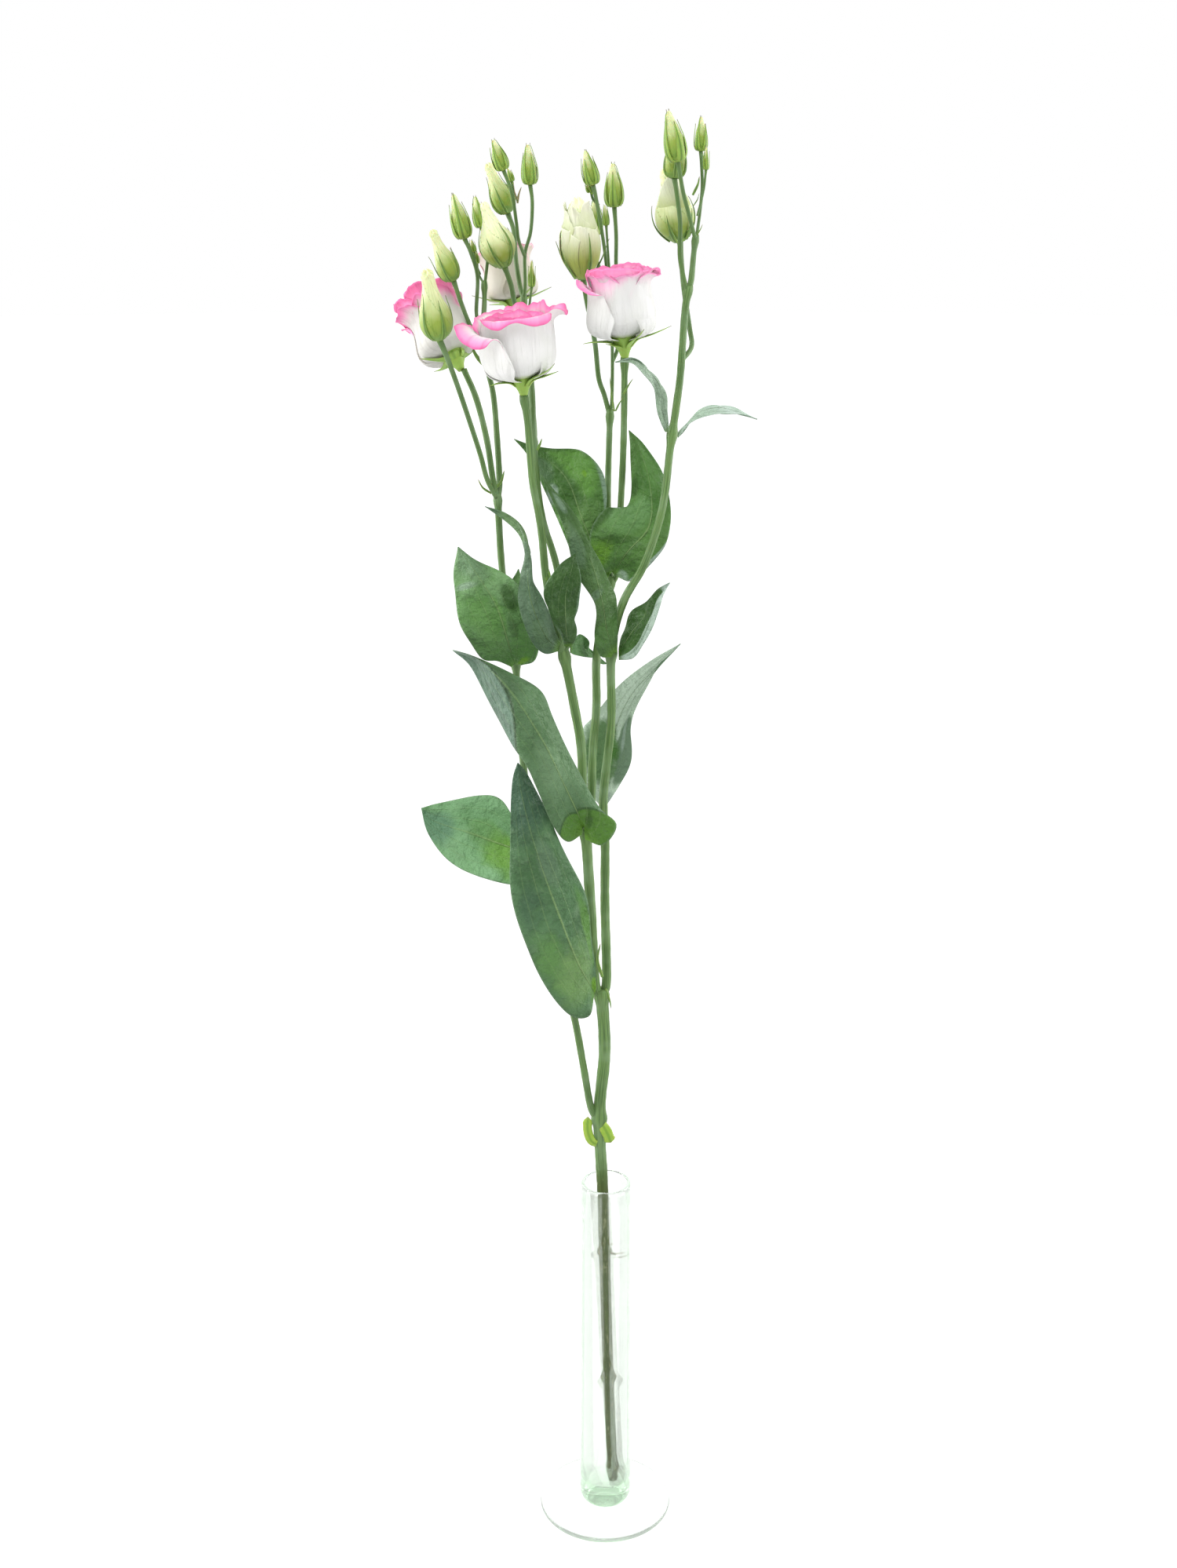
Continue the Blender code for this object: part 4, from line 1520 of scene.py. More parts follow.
# Swellings where leaves or branches stand: height, extra radius, half length.
KNOTS = {
    "stem_main": ((25.5, 1, 4), (88.5, 1.8, 2.8), (174, 1.4, 2.2), (260, 1.4, 4.5), (338, 1.2, 4)),
    "stem_left": ((419, 1, 3.5), (532, 0.9, 3.5), (622, 0.7, 3)),
    "stem_middle": ((440, 1, 4),),
    "stem_right": ((541, 1.2, 4), (657, 1, 3.5), (728, 0.6, 3)),
    "stem_front": ((541, 1, 4),),
    "stem_back": ((575, 0.9, 4),),
    "stem_front_tip": ((650, 0.7, 3), (723, 0.6, 3)),
    "stem_back_tip": ((664, 0.8, 3),),
    "stem_left_tip": ((699, 0.5, 2.5), (730, 0.5, 2.5)),
    "stem_right_tip": ((753, 0.6, 2.5),),
    "stalk_front_flower": ((676, 0.6, 3.5),),
    "stalk_right_flower": ((694, 0.6, 3.5),),
}

# Stalk route ending at the bud's base, the bud's tip, its greatest radius.
BUDS = {
    "bud_left_front": ([(-63, -5, 634), (-66, -9, 647), (-70, -15, 662), (-76, -23, 683),
        (-81, -30, 699), (-84, -33, 707)], (-89, -40, 740), 8),
    "bud_left_outer": ([(-66, 7, 703), (-70, -4, 711), (-74, -9, 722), (-78, -9, 734)],
        (-88, -12, 758), 5.6),
    "bud_left_upper": ([(-68, 12, 716), (-67, 9, 735), (-70, 6, 747), (-73, 5, 754)], (-78, 3, 775),
        4.4),
    "bud_left_small": ([(-63, 16, 736), (-62, 18, 746), (-63, 18, 753), (-65, 18, 759)],
        (-68, 18, 774), 3.2),
    "bud_front_large": ([(-48, 14, 721), (-50, 11, 731), (-53, 8, 740)], (-63, 4, 771), 9),
    "bud_front_high": ([(-46, 26, 730), (-48, 28, 743), (-49, 30, 757), (-52, 31, 766)],
        (-62, 30, 790), 6),
    "bud_front_right": ([(-43, 19, 731), (-43, 20, 746), (-40, 20, 757), (-39, 20, 771),
        (-40, 20, 780)], (-41, 19, 799), 3.8),
    "bud_front_left": ([(-46, 15, 753), (-47, 12, 762), (-49, 9, 776), (-53, 8, 787)],
        (-58, 6, 801), 3.5),
    "bud_front_low": ([(-42, 23, 713), (-41, 26, 721), (-40, 30, 729)], (-40, 31, 742), 1.6),
    "bud_back_large": ([(-2, 15, 675), (-5, 15, 684), (-7, 16, 702), (-11, 13, 722),
        (-13, 10, 734)], (-16, 4, 773), 10.5),
    "bud_back_left": ([(2, 14, 674), (2, 17, 702), (0, 19, 728), (-2, 18, 748), (-6, 16, 771),
        (-8, 15, 780)], (-12, 13, 796), 3.8),
    "bud_back_right": ([(5, 20, 700), (5, 24, 720), (4, 26, 740), (4, 27, 755), (3, 27, 769)],
        (2, 27, 790), 4.6),
    "bud_back_hidden": ([(-4, 25, 738), (-6, 29, 743), (-6, 32, 749), (-7, 34, 755)], (-7, 36, 773),
        3.6),
    "bud_right_large": ([(43, 12, 700), (42, 16, 710), (39, 23, 730), (37, 26, 752)], (28, 22, 787),
        10),
    "bud_right_behind": ([(38, 3, 735), (36, 5, 746), (36, 7, 762), (34, 8, 777), (33, 9, 783)],
        (34, 11, 803), 5.6),
    "bud_right_front": ([(42, 1, 759), (40, -1, 766), (37, -2, 776), (34, -4, 791)], (29, -7, 814),
        5),
    "bud_right_small": ([(45, 7, 759), (46, 8, 767), (47, 9, 780), (46, 9, 796)], (46, 9, 812), 3),
}

# Where each bud's stalk leaves its parent, before the route above.
BUD_ROOTS = {
    "bud_left_front": ((-58.6, -1, 624),), "bud_left_outer": ((-64.4, 12, 697),),
    "bud_left_upper": ((-64.6, 14, 711),), "bud_left_small": ((-64, 16, 730),),
    "bud_front_large": ((-43.4, 20.6, 712),), "bud_front_high": ((-44, 22, 723),),
    "bud_front_right": ((-44, 22, 723),), "bud_front_left": ((-43.2, 19.8, 745),),
    "bud_front_low": ((-43, 20, 704),), "bud_back_large": ((0.7, 14, 665),),
    "bud_back_left": ((1, 14, 665),), "bud_back_right": ((2.2, 16.4, 692),),
    "bud_back_hidden": ((4.8, 23.6, 718), (1, 24.5, 729)), "bud_right_large": ((37.6, 1.6, 694),),
    "bud_right_behind": ((40.6, 5, 727),), "bud_right_front": ((44, 4, 753),),
    "bud_right_small": ((44, 4, 753),),
}
# Small buds that grow beside the larger ones.
TINY_BUDS = {
    "tiny_bud_front": (((-46.5, 21.5, 772), (-48.6, 22.6, 777), (-49.5, 23, 781.5)),
        (-51.5, 23, 788), 1.5),
    "tiny_bud_right": (((44.5, 4, 765), (47.4, 4.5, 777), (48.5, 5, 787)), (48.5, 5, 798), 1.2),
    "tiny_bud_left": (((-66, 16, 736), (-68.5, 17.5, 742), (-69, 18, 747)), (-70.5, 18, 753), 1.1),
    "tiny_bud_arm": (((-64, 16, 731), (-67, 20, 736), (-68, 23, 741)), (-69.5, 23, 748.5), 1.4),
    "tiny_bud_low": (((-5, 19.5, 770), (-8, 20, 773), (-9, 20, 776.5)), (-11, 20, 781.5), 1.7),
    "tiny_bud_back": (((0.5, 19, 738), (-0.5, 20, 750), (-1.2, 20, 760)), (-2, 20, 770), 1.4),
}


LONG = ((0, 0.34), (0.07, 0.72), (0.18, 0.96), (0.3, 1), (0.44, 0.88), (0.6, 0.62),
        (0.76, 0.44), (0.9, 0.37), (0.98, 0.28), (1, 0.1))
PEAR = ((0, 0.28), (0.08, 0.58), (0.2, 0.88), (0.35, 1), (0.5, 0.86), (0.62, 0.6),
        (0.76, 0.38), (0.9, 0.26), (0.98, 0.18), (1, 0.05))
FULL = ((0, 0.26), (0.1, 0.52), (0.24, 0.82), (0.42, 0.94), (0.58, 0.86), (0.72, 0.64),
        (0.84, 0.48), (0.94, 0.34), (1, 0.12))
WRAP = ((0, 50), (0.22, 64), (0.4, 86), (0.54, 97), (0.7, 106), (0.84, 99),
        (1, 80))
WRAP_LENGTH = 40
TIPPED = ((-1, 0.74), (-0.5, 0.88), (0, 1.02), (0.4, 0.92), (1, 0.72))
ROUND = ((-1, 0.8), (-0.5, 0.95), (0.1, 1), (0.5, 0.95), (1, 0.8))


def ring_of_wraps(turns: tuple[float, ...], length: float, width: float, foot: float,
                  margin: Curve) -> tuple[Petal, ...]:
    """Loose petals round an opening bud.

    Args:
        turns: Where each one's middle stands, in degrees.
        length: Their length.
        width: Half their width.
        foot: The radius where they start.
        margin: Their outline.

    Returns:
        The petals.
    """
    climb = tuple((share * WRAP_LENGTH / length, slope) for share, slope in WRAP)
    return tuple(Petal(turn, length * (1 + 0.05 * math.sin(2.2 * k)), width, climb,
                       curl=((-1, 0), (0, 12), (1, 0)), lip=0.86, lean=0.6, ruffle=0.8,
                       waves=3, phase=1.3 * k, margin=margin, foot=(foot, 0.5))
                 for k, turn in enumerate(turns))


BUD_HABITS = {
    "bud_left_front": BudHabit(Ripeness.TURNING, LONG, 0.66, 2, 0.45),
    "bud_left_outer": BudHabit(Ripeness.TURNING, LONG, 0.62, 2.2, 0.4),
    "bud_front_high": BudHabit(Ripeness.TURNING, LONG, 0.7, 1, 0.5),
    "bud_right_behind": BudHabit(Ripeness.TURNING),
    "bud_front_large": BudHabit(Ripeness.CREAM, PEAR, 0.6, 1.6, 0.5),
    "bud_back_large": BudHabit(Ripeness.CREAM, FULL, 0.55, 2.4, 0.5, wraps=(
        *ring_of_wraps((-118, -44, 32, 108, 176), 38, 9.5, 2.3, TIPPED),
        *ring_of_wraps((-160, -88, -16, 56, 128), 27.5, 11.5, 3.1, ROUND))),
    "bud_right_large": BudHabit(Ripeness.CREAM, PEAR, 0.5, 2.4, 0.5, wraps=(
        Petal(-60, 34, 12.5, WRAP, curl=((-1, 0), (1, 0)), lip=0.9, lean=0.8, ruffle=0.2,
              foot=(3, 0.5),
              margin=((-1, 0.6), (-0.4, 0.95), (0.2, 1), (0.7, 0.8), (1, 0.6))),)),
}

# Left edge, midrib and right edge, each from the base to the tip.
LEAVES = {
    "leaf_lowest": (
        [(-7, -3, 342), (-10, -8, 331), (-23, -15, 337), (-40, -22, 367), (-51, -25, 408),
         (-53, -27, 439), (-51, -27, 475)],
        [(-7, -3, 343), (-17, -18, 370), (-29, -28, 408), (-40, -32, 445), (-46, -30, 471)],
        [(-6, -4, 346), (-7, -9, 370), (-9, -13, 393), (-13, -17, 410), (-21, -21, 430),
         (-29, -24, 448), (-42, -27, 479)],
        (-48, -27, 487)),
    "leaf_far_left": (
        [(-38, 11, 419), (-46, 5, 408), (-54, 2, 407), (-73, 4, 411), (-89, 8, 420),
         (-100, 13, 433)],
        [(-38, 12, 420), (-52, 14, 424), (-77, 18, 432), (-98, 19, 439)],
        [(-38, 12, 422), (-49, 16, 436), (-59, 20, 451), (-72, 22, 453), (-93, 20, 449)],
        (-104, 17, 447)),
    "leaf_middle_front": (
        [(-14, -14, 442), (-22, -20, 440), (-29, -28, 451), (-37, -36, 473), (-43, -40, 489),
         (-52, -35, 501), (-61, -29, 516), (-72, -27, 539)],
        [(-13, -14, 447), (-25, -36, 482), (-35, -43, 505), (-46, -46, 525), (-57, -42, 538),
         (-70, -33, 545)],
        [(-12, -14, 439), (-2, -17, 437), (5, -15, 448), (-5, -16, 458), (-16, -25, 480),
         (-28, -36, 514), (-35, -38, 530), (-51, -33, 538), (-70, -28, 545)],
        (-82, -25, 548)),
    "leaf_middle_back": (
        [(-3, 15, 448), (-12, 20, 460), (-14, 27, 487), (-7, 29, 497), (7, 32, 515), (25, 34, 528)],
        [(-2, 15, 448), (-1, 22, 464), (4, 28, 487), (14, 32, 509)],
        [(-1, 15, 448), (8, 19, 461), (13, 21, 473), (13, 25, 490), (18, 30, 506), (29, 34, 524)],
        (41, 36, 537)),
    "leaf_left_front": (
        [(-52, 2, 532), (-59, -5, 537), (-68, -9, 540), (-77, -14, 559), (-81, -17, 582)],
        [(-50, 2, 534), (-54, -10, 552), (-58, -20, 569), (-68, -24, 588)],
        [(-49, 2, 533), (-41, -5, 538), (-38, -9, 550), (-45, -14, 571), (-49, -18, 583),
         (-66, -21, 593)],
        (-78, -18, 601)),
    "leaf_left_back": (
        [(-52, 14, 531), (-58, 24, 532), (-64, 40, 545), (-59, 56, 559)],
        [(-50, 14, 531), (-51, 30, 541), (-53, 48, 550), (-54, 62, 562)],
        [(-47, 14, 530), (-39, 22, 532), (-38, 38, 545), (-45, 54, 561)],
        (-50, 72, 572)),
    "leaf_twisted": (
        [(-26, -16, 545), (-34, -20, 545), (-41, -24, 554), (-47, -26, 574), (-46, -24, 588),
         (-43, -21, 599), (-47, -17, 609)],
        [(-26, -16, 547), (-32, -24, 554), (-38, -28, 568), (-41, -28, 583), (-41, -23, 598),
         (-46, -18, 613)],
        [(-25, -18, 550), (-28, -23, 558), (-33, -28, 574), (-38, -27, 584), (-40, -24, 596),
         (-42, -20, 604), (-49, -16, 616)],
        (-64, -12, 621)),
    "leaf_front_ovate": (
        [(-23, -21, 549), (-25, -28, 557), (-31, -33, 569), (-32, -35, 582), (-26, -34, 594)],
        [(-21, -21, 549), (-22, -34, 564), (-22, -40, 579), (-19, -37, 592)],
        [(-19, -20, 549), (-16, -27, 559), (-17, -34, 568), (-14, -36, 582), (-16, -35, 593)],
        (-17, -32, 600)),
    "leaf_front_right": (
        [(-20, -6, 548), (-14, 6, 549), (-10, 15, 540), (-6, 19, 535)],
        [(-20, -6, 545), (-14, 6, 544), (-10, 15, 537), (-5, 20, 532)],
        [(-20, -7, 542), (-14, 5, 537), (-9, 14, 534), (-4, 19, 530)],
        (0, 25, 528)),
    "leaf_right_broad": (
        [(2, 9, 583), (-4, 4, 584), (-9, 1, 594), (-9, 0, 607), (-1, 2, 618), (9, 5, 619),
         (12, 9, 628), (12, 14, 646)],
        [(3, 9, 582), (10, 3, 594), (21, 0, 607), (23, 2, 623), (19, 8, 641)],
        [(5, 8, 580), (13, 3, 579), (25, 0, 591), (31, 0, 601), (33, 1, 617), (29, 7, 635),
         (20, 12, 649)],
        (11, 15, 657)),
    "leaf_left_broad": (
        [(0, 11, 579), (-9, 9, 576), (-16, 9, 583), (-22, 10, 599), (-30, 14, 617), (-36, 20, 631),
         (-43, 23, 643)],
        [(1, 10, 581), (-7, 8, 595), (-14, 10, 613), (-22, 14, 632), (-35, 20, 643)],
        [(3, 12, 583), (0, 11, 594), (-2, 8, 608), (-1, 5, 623), (-4, 4, 638), (-14, 8, 647),
         (-31, 17, 647)],
        (-50, 25, 651)),
    "leaf_long_front": (
        [(2, -13, 541), (-4, -15, 542), (-7, -17, 552), (-7, -21, 569), (-16, -23, 588),
         (-22, -25, 609), (-29, -23, 626)],
        [(3, -13, 543), (-1, -20, 559), (-3, -24, 572), (-9, -26, 595), (-18, -26, 616)],
        [(5, -14, 544), (5, -17, 558), (5, -20, 574), (-1, -22, 586), (-12, -24, 609),
         (-26, -23, 628)],
        (-35, -21, 639)),
    "leaf_right_folded": (
        [(6, -3, 544), (8, -3, 552), (13, -2, 562), (22, 1, 571), (29, 3, 575)],
        [(6, -5, 542), (13, -9, 554), (20, -9, 565), (25, -4, 573)],
        [(6, -7, 538), (13, -14, 541), (20, -20, 551), (26, -19, 565), (29, -6, 572)],
        (33, 2, 578)),
    "leaf_high_left": (
        [(29, -8, 659), (25, -17, 668), (23, -22, 682), (13, -30, 694)],
        [(30, -9, 659), (28, -15, 670), (24, -20, 685), (12, -27, 696)],
        [(31, -10, 660), (30, -12, 669), (27, -16, 681), (15, -26, 696)],
        (3, -32, 696)),
    "leaf_high_right": (
        [(36, 2, 657), (43, 10, 664), (51, 15, 669), (66, 15, 668)],
        [(36, 0, 656), (43, 5, 663), (52, 8, 668), (64, 9, 668)],
        [(36, -2, 655), (43, 0, 662), (51, 1, 667), (63, 4, 667)],
        (78, 11, 663)),
}


# Painted highlight: the waxy sheen catching the light in streaks and along margins.
SHEEN_HIGHLIGHT = (0.4, 0.51, 0.44)
PALE = (0.24, 0.35, 0.26)
MIST = (0.125, 0.205, 0.125)
# Painted shade, bluish: a leaf's darker, less lit top, a shadow on its left, and a shaded folded
# margin.
BLUE_SHADE = (0.045, 0.098, 0.062)
FRESH = (0.14, 0.31, 0.08)
GLOW = (0.16, 0.35, 0.03)
CLASP = (0.085, 0.205, 0.03)
# Painted shade: shadows laid on the leaves beneath and between lobes, at folds and near their
# bases.
PAINTED_SHADE = (0.026, 0.072, 0.012)

FOLDED_BACK = ((0, -1.3), (0.5, -1.3), (0.55, -0.9), (0.61, -0.42), (0.68, -0.1),
               (0.77, 0.05), (0.85, 0.35), (0.92, 0.95), (1, 1.2))


# Each leaf's zones paint shade, highlights and glow where light and shadow fall on it, beside other
# tones.
LEAF_HABITS = {
    "leaf_left_front": LeafHabit(LeafFinish((0.185, 0.345, 0.145), (0.095, 0.225, 0.058), zones=(
        Zone(0.9, 0, 0.22, 1.2, MIST, 0.6), Zone(0.35, -0.4, 0.3, 0.5, FRESH, 0.5),
        Zone(0.73, -0.6, 0.035, 0.5, SHEEN_HIGHLIGHT, 0.5, 1),
        Zone(0.56, 0.55, 0.14, 0.35, PAINTED_SHADE, 0.75), Zone(0.33, 0.3, 0.1, 0.2, PAINTED_SHADE, 0.45),
        Zone(0.06, 0.9, 0.07, 0.35, GLOW, 0.9), Zone(0.45, 0.06, 0.2, 0.1, FRESH, 0.7)))),
    "leaf_left_back": LeafHabit(LeafFinish((0.09, 0.2, 0.06), (0.05, 0.13, 0.03))),
    "leaf_left_broad": LeafHabit(LeafFinish((0.102, 0.232, 0.055), (0.06, 0.15, 0.032), zones=(
        # Painted glow: the bright yellow-green upper right, as if light shone through the leaf.
        Zone(0.62, 0.55, 0.22, 0.5, (0.14, 0.33, 0.06), 0.75),
        Zone(0.55, 0.55, 0.025, 0.1, GLOW, 0.9), Zone(0.46, 0.1, 0.1, 0.25, PAINTED_SHADE, 0.3),
        Zone(0.28, 0.1, 0.18, 0.9, (0.125, 0.25, 0.07), 0.8),
        Zone(0.62, -0.75, 0.06, 0.35, SHEEN_HIGHLIGHT, 0.7, 1), Zone(0.75, -0.5, 0.1, 0.5, MIST, 0.5),
        Zone(0.42, 1, 0.16, 0.16, PALE, 0.8), Zone(0.48, -0.9, 0.12, 0.2, FRESH, 0.6)))),
    "leaf_right_broad": LeafHabit(LeafFinish((0.11, 0.24, 0.06), (0.065, 0.165, 0.035), zones=(
        Zone(0.45, -0.5, 0.18, 0.55, (0.14, 0.29, 0.1), 0.7),
        Zone(0.42, -0.98, 0.12, 0.2, PAINTED_SHADE, 0.7), Zone(0.2, -0.8, 0.12, 0.4, GLOW, 0.7, 1),
        Zone(0.28, -0.45, 0.05, 0.6, PAINTED_SHADE, 0.5, 1), Zone(0.1, 0.4, 0.09, 0.5, PAINTED_SHADE, 0.3),
        Zone(0.68, -0.8, 0.07, 0.3, PAINTED_SHADE, 0.6), Zone(0.22, 1, 0.18, 0.17, SHEEN_HIGHLIGHT, 0.85, 0.5),
        Zone(0.04, 0.7, 0.05, 0.5, SHEEN_HIGHLIGHT, 0.7), Zone(0.75, 0.3, 0.15, 0.5, FRESH, 0.4)))),
    "leaf_right_folded": LeafHabit(LeafFinish((0.06, 0.14, 0.035), (0.028, 0.078, 0.014), zones=(
        # The rolled right margin: its pale underside, whitened further with a painted sheen
        # highlight.
        Zone(0.5, 1.25, 9, 0.66, (0.5, 0.62, 0.54), 0.85, 0.15),
        Zone(0.3, 0.75, 0.3, 0.1, MIST, 0.6),
        Zone(0.95, 0, 0.1, 2, SHEEN_HIGHLIGHT, 0.8)))),
    "leaf_front_ovate": LeafHabit(LeafFinish((0.052, 0.118, 0.03), (0.022, 0.064, 0.012), zones=(
        Zone(0.5, 1, 0.6, 0.14, MIST, 0.7), Zone(0.15, -0.8, 0.15, 0.3, MIST, 0.5)))),
    "leaf_long_front": LeafHabit(LeafFinish((0.085, 0.17, 0.055), (0.045, 0.105, 0.028), zones=(
        Zone(0.84, -0.2, 0.07, 0.6, PALE, 0.6, 1), Zone(0.62, -0.5, 0.14, 0.5, MIST, 0.5),
        Zone(0.36, -0.4, 0.03, 0.9, MIST, 0.6), Zone(0.14, 0, 0.1, 1.2, FRESH, 0.35)))),
    "leaf_twisted": LeafHabit(LeafFinish((0.125, 0.2, 0.125), (0.075, 0.14, 0.075), zones=(
        Zone(0.16, -0.2, 0.12, 0.7, (0.085, 0.165, 0.07), 0.6),
        Zone(0.06, 0.7, 0.1, 0.5, PAINTED_SHADE, 0.5),
        Zone(0.8, 0, 0.15, 2, (0.15, 0.26, 0.11), 0.8)))),
    "leaf_front_right": LeafHabit(LeafFinish((0.115, 0.26, 0.085), (0.07, 0.175, 0.05))),
    "leaf_middle_front": LeafHabit(LeafFinish((0.11, 0.208, 0.098), (0.074, 0.154, 0.062), zones=(
        Zone(0.8, 0, 0.16, 0.9, (0.07, 0.13, 0.062), 0.8, 1),
        Zone(0.34, -0.1, 0.17, 0.9, (0.185, 0.31, 0.165), 0.75, 1.2),
        Zone(0, -0.9, 0.142, 1.15, PAINTED_SHADE, 0.7, 0.1), Zone(0, 1.1, 0.182, 1.35, PAINTED_SHADE, 0.7, 0.1),
        Zone(0, -0.9, 0.13, 1.1, CLASP, 0.9, 0.1), Zone(0, 1.1, 0.17, 1.3, CLASP, 0.9, 0.1),
        Zone(0.05, 0.4, 0.12, 0.13, PAINTED_SHADE, 0.6)),
        fold_shading=(0.14, 0.235, 0.165)), wave=(0.5, 1.5), fold=FOLDED_BACK),
    # Its paler underside faces the front, made paler still with painted light for the stronger
    # light that reaches it.
    "leaf_middle_back": LeafHabit(LeafFinish((0.16, 0.26, 0.16), (0.11, 0.19, 0.11),
                                         under=(0.6, 0.76, 0.6), zones=(
        Zone(0.33, 0.75, 0.22, 0.55, (0.065, 0.14, 0.065), 0.9, 0.4),
        Zone(0.42, 0.55, 0.12, 0.12, SHEEN_HIGHLIGHT, 0.5),
        Zone(0.24, 0.2, 0.14, 0.4, (0.06, 0.17, 0.03), 0.9),
        Zone(0.3, -0.35, 0.2, 0.75, (0.055, 0.17, 0.02), 0.92, 0.6),
        Zone(0.05, 0.6, 0.05, 1, SHEEN_HIGHLIGHT, 0.7))), upper=-1),
    "leaf_lowest": LeafHabit(LeafFinish((0.1, 0.205, 0.095), (0.06, 0.135, 0.055), zones=(
        Zone(0.95, 0, 0.25, 2, BLUE_SHADE, 0.85), Zone(0.62, 0.25, 0.12, 0.4, MIST, 0.6),
        Zone(0.5, -0.6, 0.1, 0.4, BLUE_SHADE, 0.5), Zone(0.32, -0.6, 0.22, 0.5, FRESH, 0.65, 1.4),
        # Painted light: the lower blade brightened as if lit from the floor below.
        Zone(0.16, -0.1, 0.16, 1, (0.185, 0.33, 0.11), 0.75, 1.2),
        Zone(0.3, 0.8, 0.2, 0.2, (0.12, 0.3, 0.03), 0.5),
        Zone(0.02, 0.6, 0.05, 0.6, GLOW, 0.95)))),
    "leaf_far_left": LeafHabit(LeafFinish((0.25, 0.47, 0.24), (0.175, 0.36, 0.16), zones=(
        Zone(0.85, -0.3, 0.22, 1, (0.12, 0.24, 0.16), 0.7),
        # Painted glow: a yellow-green patch, as if light shone through the leaf.
        Zone(0.28, -0.25, 0.2, 0.75, (0.17, 0.37, 0.045), 0.8, 1),
        Zone(0.45, 0.1, 0.18, 0.4, FRESH, 0.5), Zone(0.2, 0.95, 0.12, 0.3, BLUE_SHADE, 0.95, 0.3)))),
    "leaf_high_left": LeafHabit(LeafFinish((0.35, 0.46, 0.35), (0.22, 0.32, 0.215),
                                       bloom=(0.45, 0.56, 0.48)), wave=(0.3, 1.5)),
    "leaf_high_right": LeafHabit(LeafFinish((0.6, 0.72, 0.65), (0.42, 0.56, 0.44),
                                        bloom=(0.55, 0.66, 0.6)), wave=(0.3, 1.5)),
}

UPRIGHT = ((0, 10), (0.2, 12), (0.27, 28), (0.34, 66), (0.41, 89), (0.74, 93),
           (1, 88))

STEEP_CUP = ((0, 30), (0.17, 32), (0.26, 42), (0.36, 68), (0.46, 85),
             (0.58, 88), (0.8, 92), (1, 90))
ROUND_CUP = ((0, 20), (0.17, 23), (0.25, 36), (0.34, 64), (0.46, 85),
             (0.58, 88), (0.8, 92), (1, 90))
STEEP = ((0, 30), (0.2, 32), (0.27, 42), (0.34, 68), (0.41, 88), (0.74, 93),
         (1, 88))
ROUNDED = ((0, 18), (0.2, 21), (0.27, 36), (0.33, 66), (0.41, 88), (0.74, 93),
           (1, 88))

FRONT_OUTER = (
    Petal(-87, 46.5, 22.5, STEEP_CUP, lip=0.775, foot=(4.2, 7.4), lean=0.4, ruffle=0.4, phase=0.6,
        curl=((-1, 70), (-0.8, 120), (-0.42, 178), (-0.03, 125), (0.46, 178), (0.85, 150),
        (1, 100)), margin=((-1, 0.88), (-0.8, 0.94), (-0.45, 1), (-0.08, 0.95), (0.45, 1.01),
        (0.85, 0.96), (1, 0.9))),
    Petal(-140, 52.5, 19.5, ROUND_CUP, lip=0.61, foot=(3.6, 5.9), lean=1.6, ruffle=0.4, waves=1.4,
        phase=2, curl=((-1, 40), (-0.6, 80), (-0.25, 108), (0.05, 150), (0.35, 172), (0.6, 150),
        (0.8, 60), (1, 10)), margin=((-1, 0.76), (-0.6, 0.88), (-0.2, 0.95), (0.2, 0.91),
        (0.5, 0.84), (0.75, 0.72), (1, 0.5)), blush=((-1, 1), (0.4, 1), (0.7, 0.2), (1, 0))),
    Petal(134, 41.5, 21.5, ROUND_CUP, lip=0.84, ruffle=0.8, waves=2.6, phase=0.4, ragged=0.01,
        curl=((-1, 30), (0, 44), (1, 90)), blush=((-1, 0.5), (0.6, 0.5), (1, 0.9)),
        foot=(4.4, 4.8)),
    Petal(62, 43.5, 21.5, ROUND_CUP, lip=0.86, ruffle=1.1, waves=3.1, phase=1.7, ragged=0.018,
        curl=((-1, 20), (0, 30), (1, 40)), blush=((-1, 0.7), (0.2, 0.6), (1, 0.6)),
        foot=(4.4, 4.8)),
    Petal(4, 44, 20, ROUND_CUP, lip=0.77, foot=(4.2, 6.2), lean=0.8, ruffle=0.8, waves=2.2,
        phase=2.7, curl=((-1, 0), (-0.6, 40), (-0.3, 100), (0.1, 104), (0.5, 70), (1, 30)),
        margin=((-1, 0.88), (-0.3, 1.02), (0.1, 1.02), (0.6, 0.96), (1, 0.88))),
)
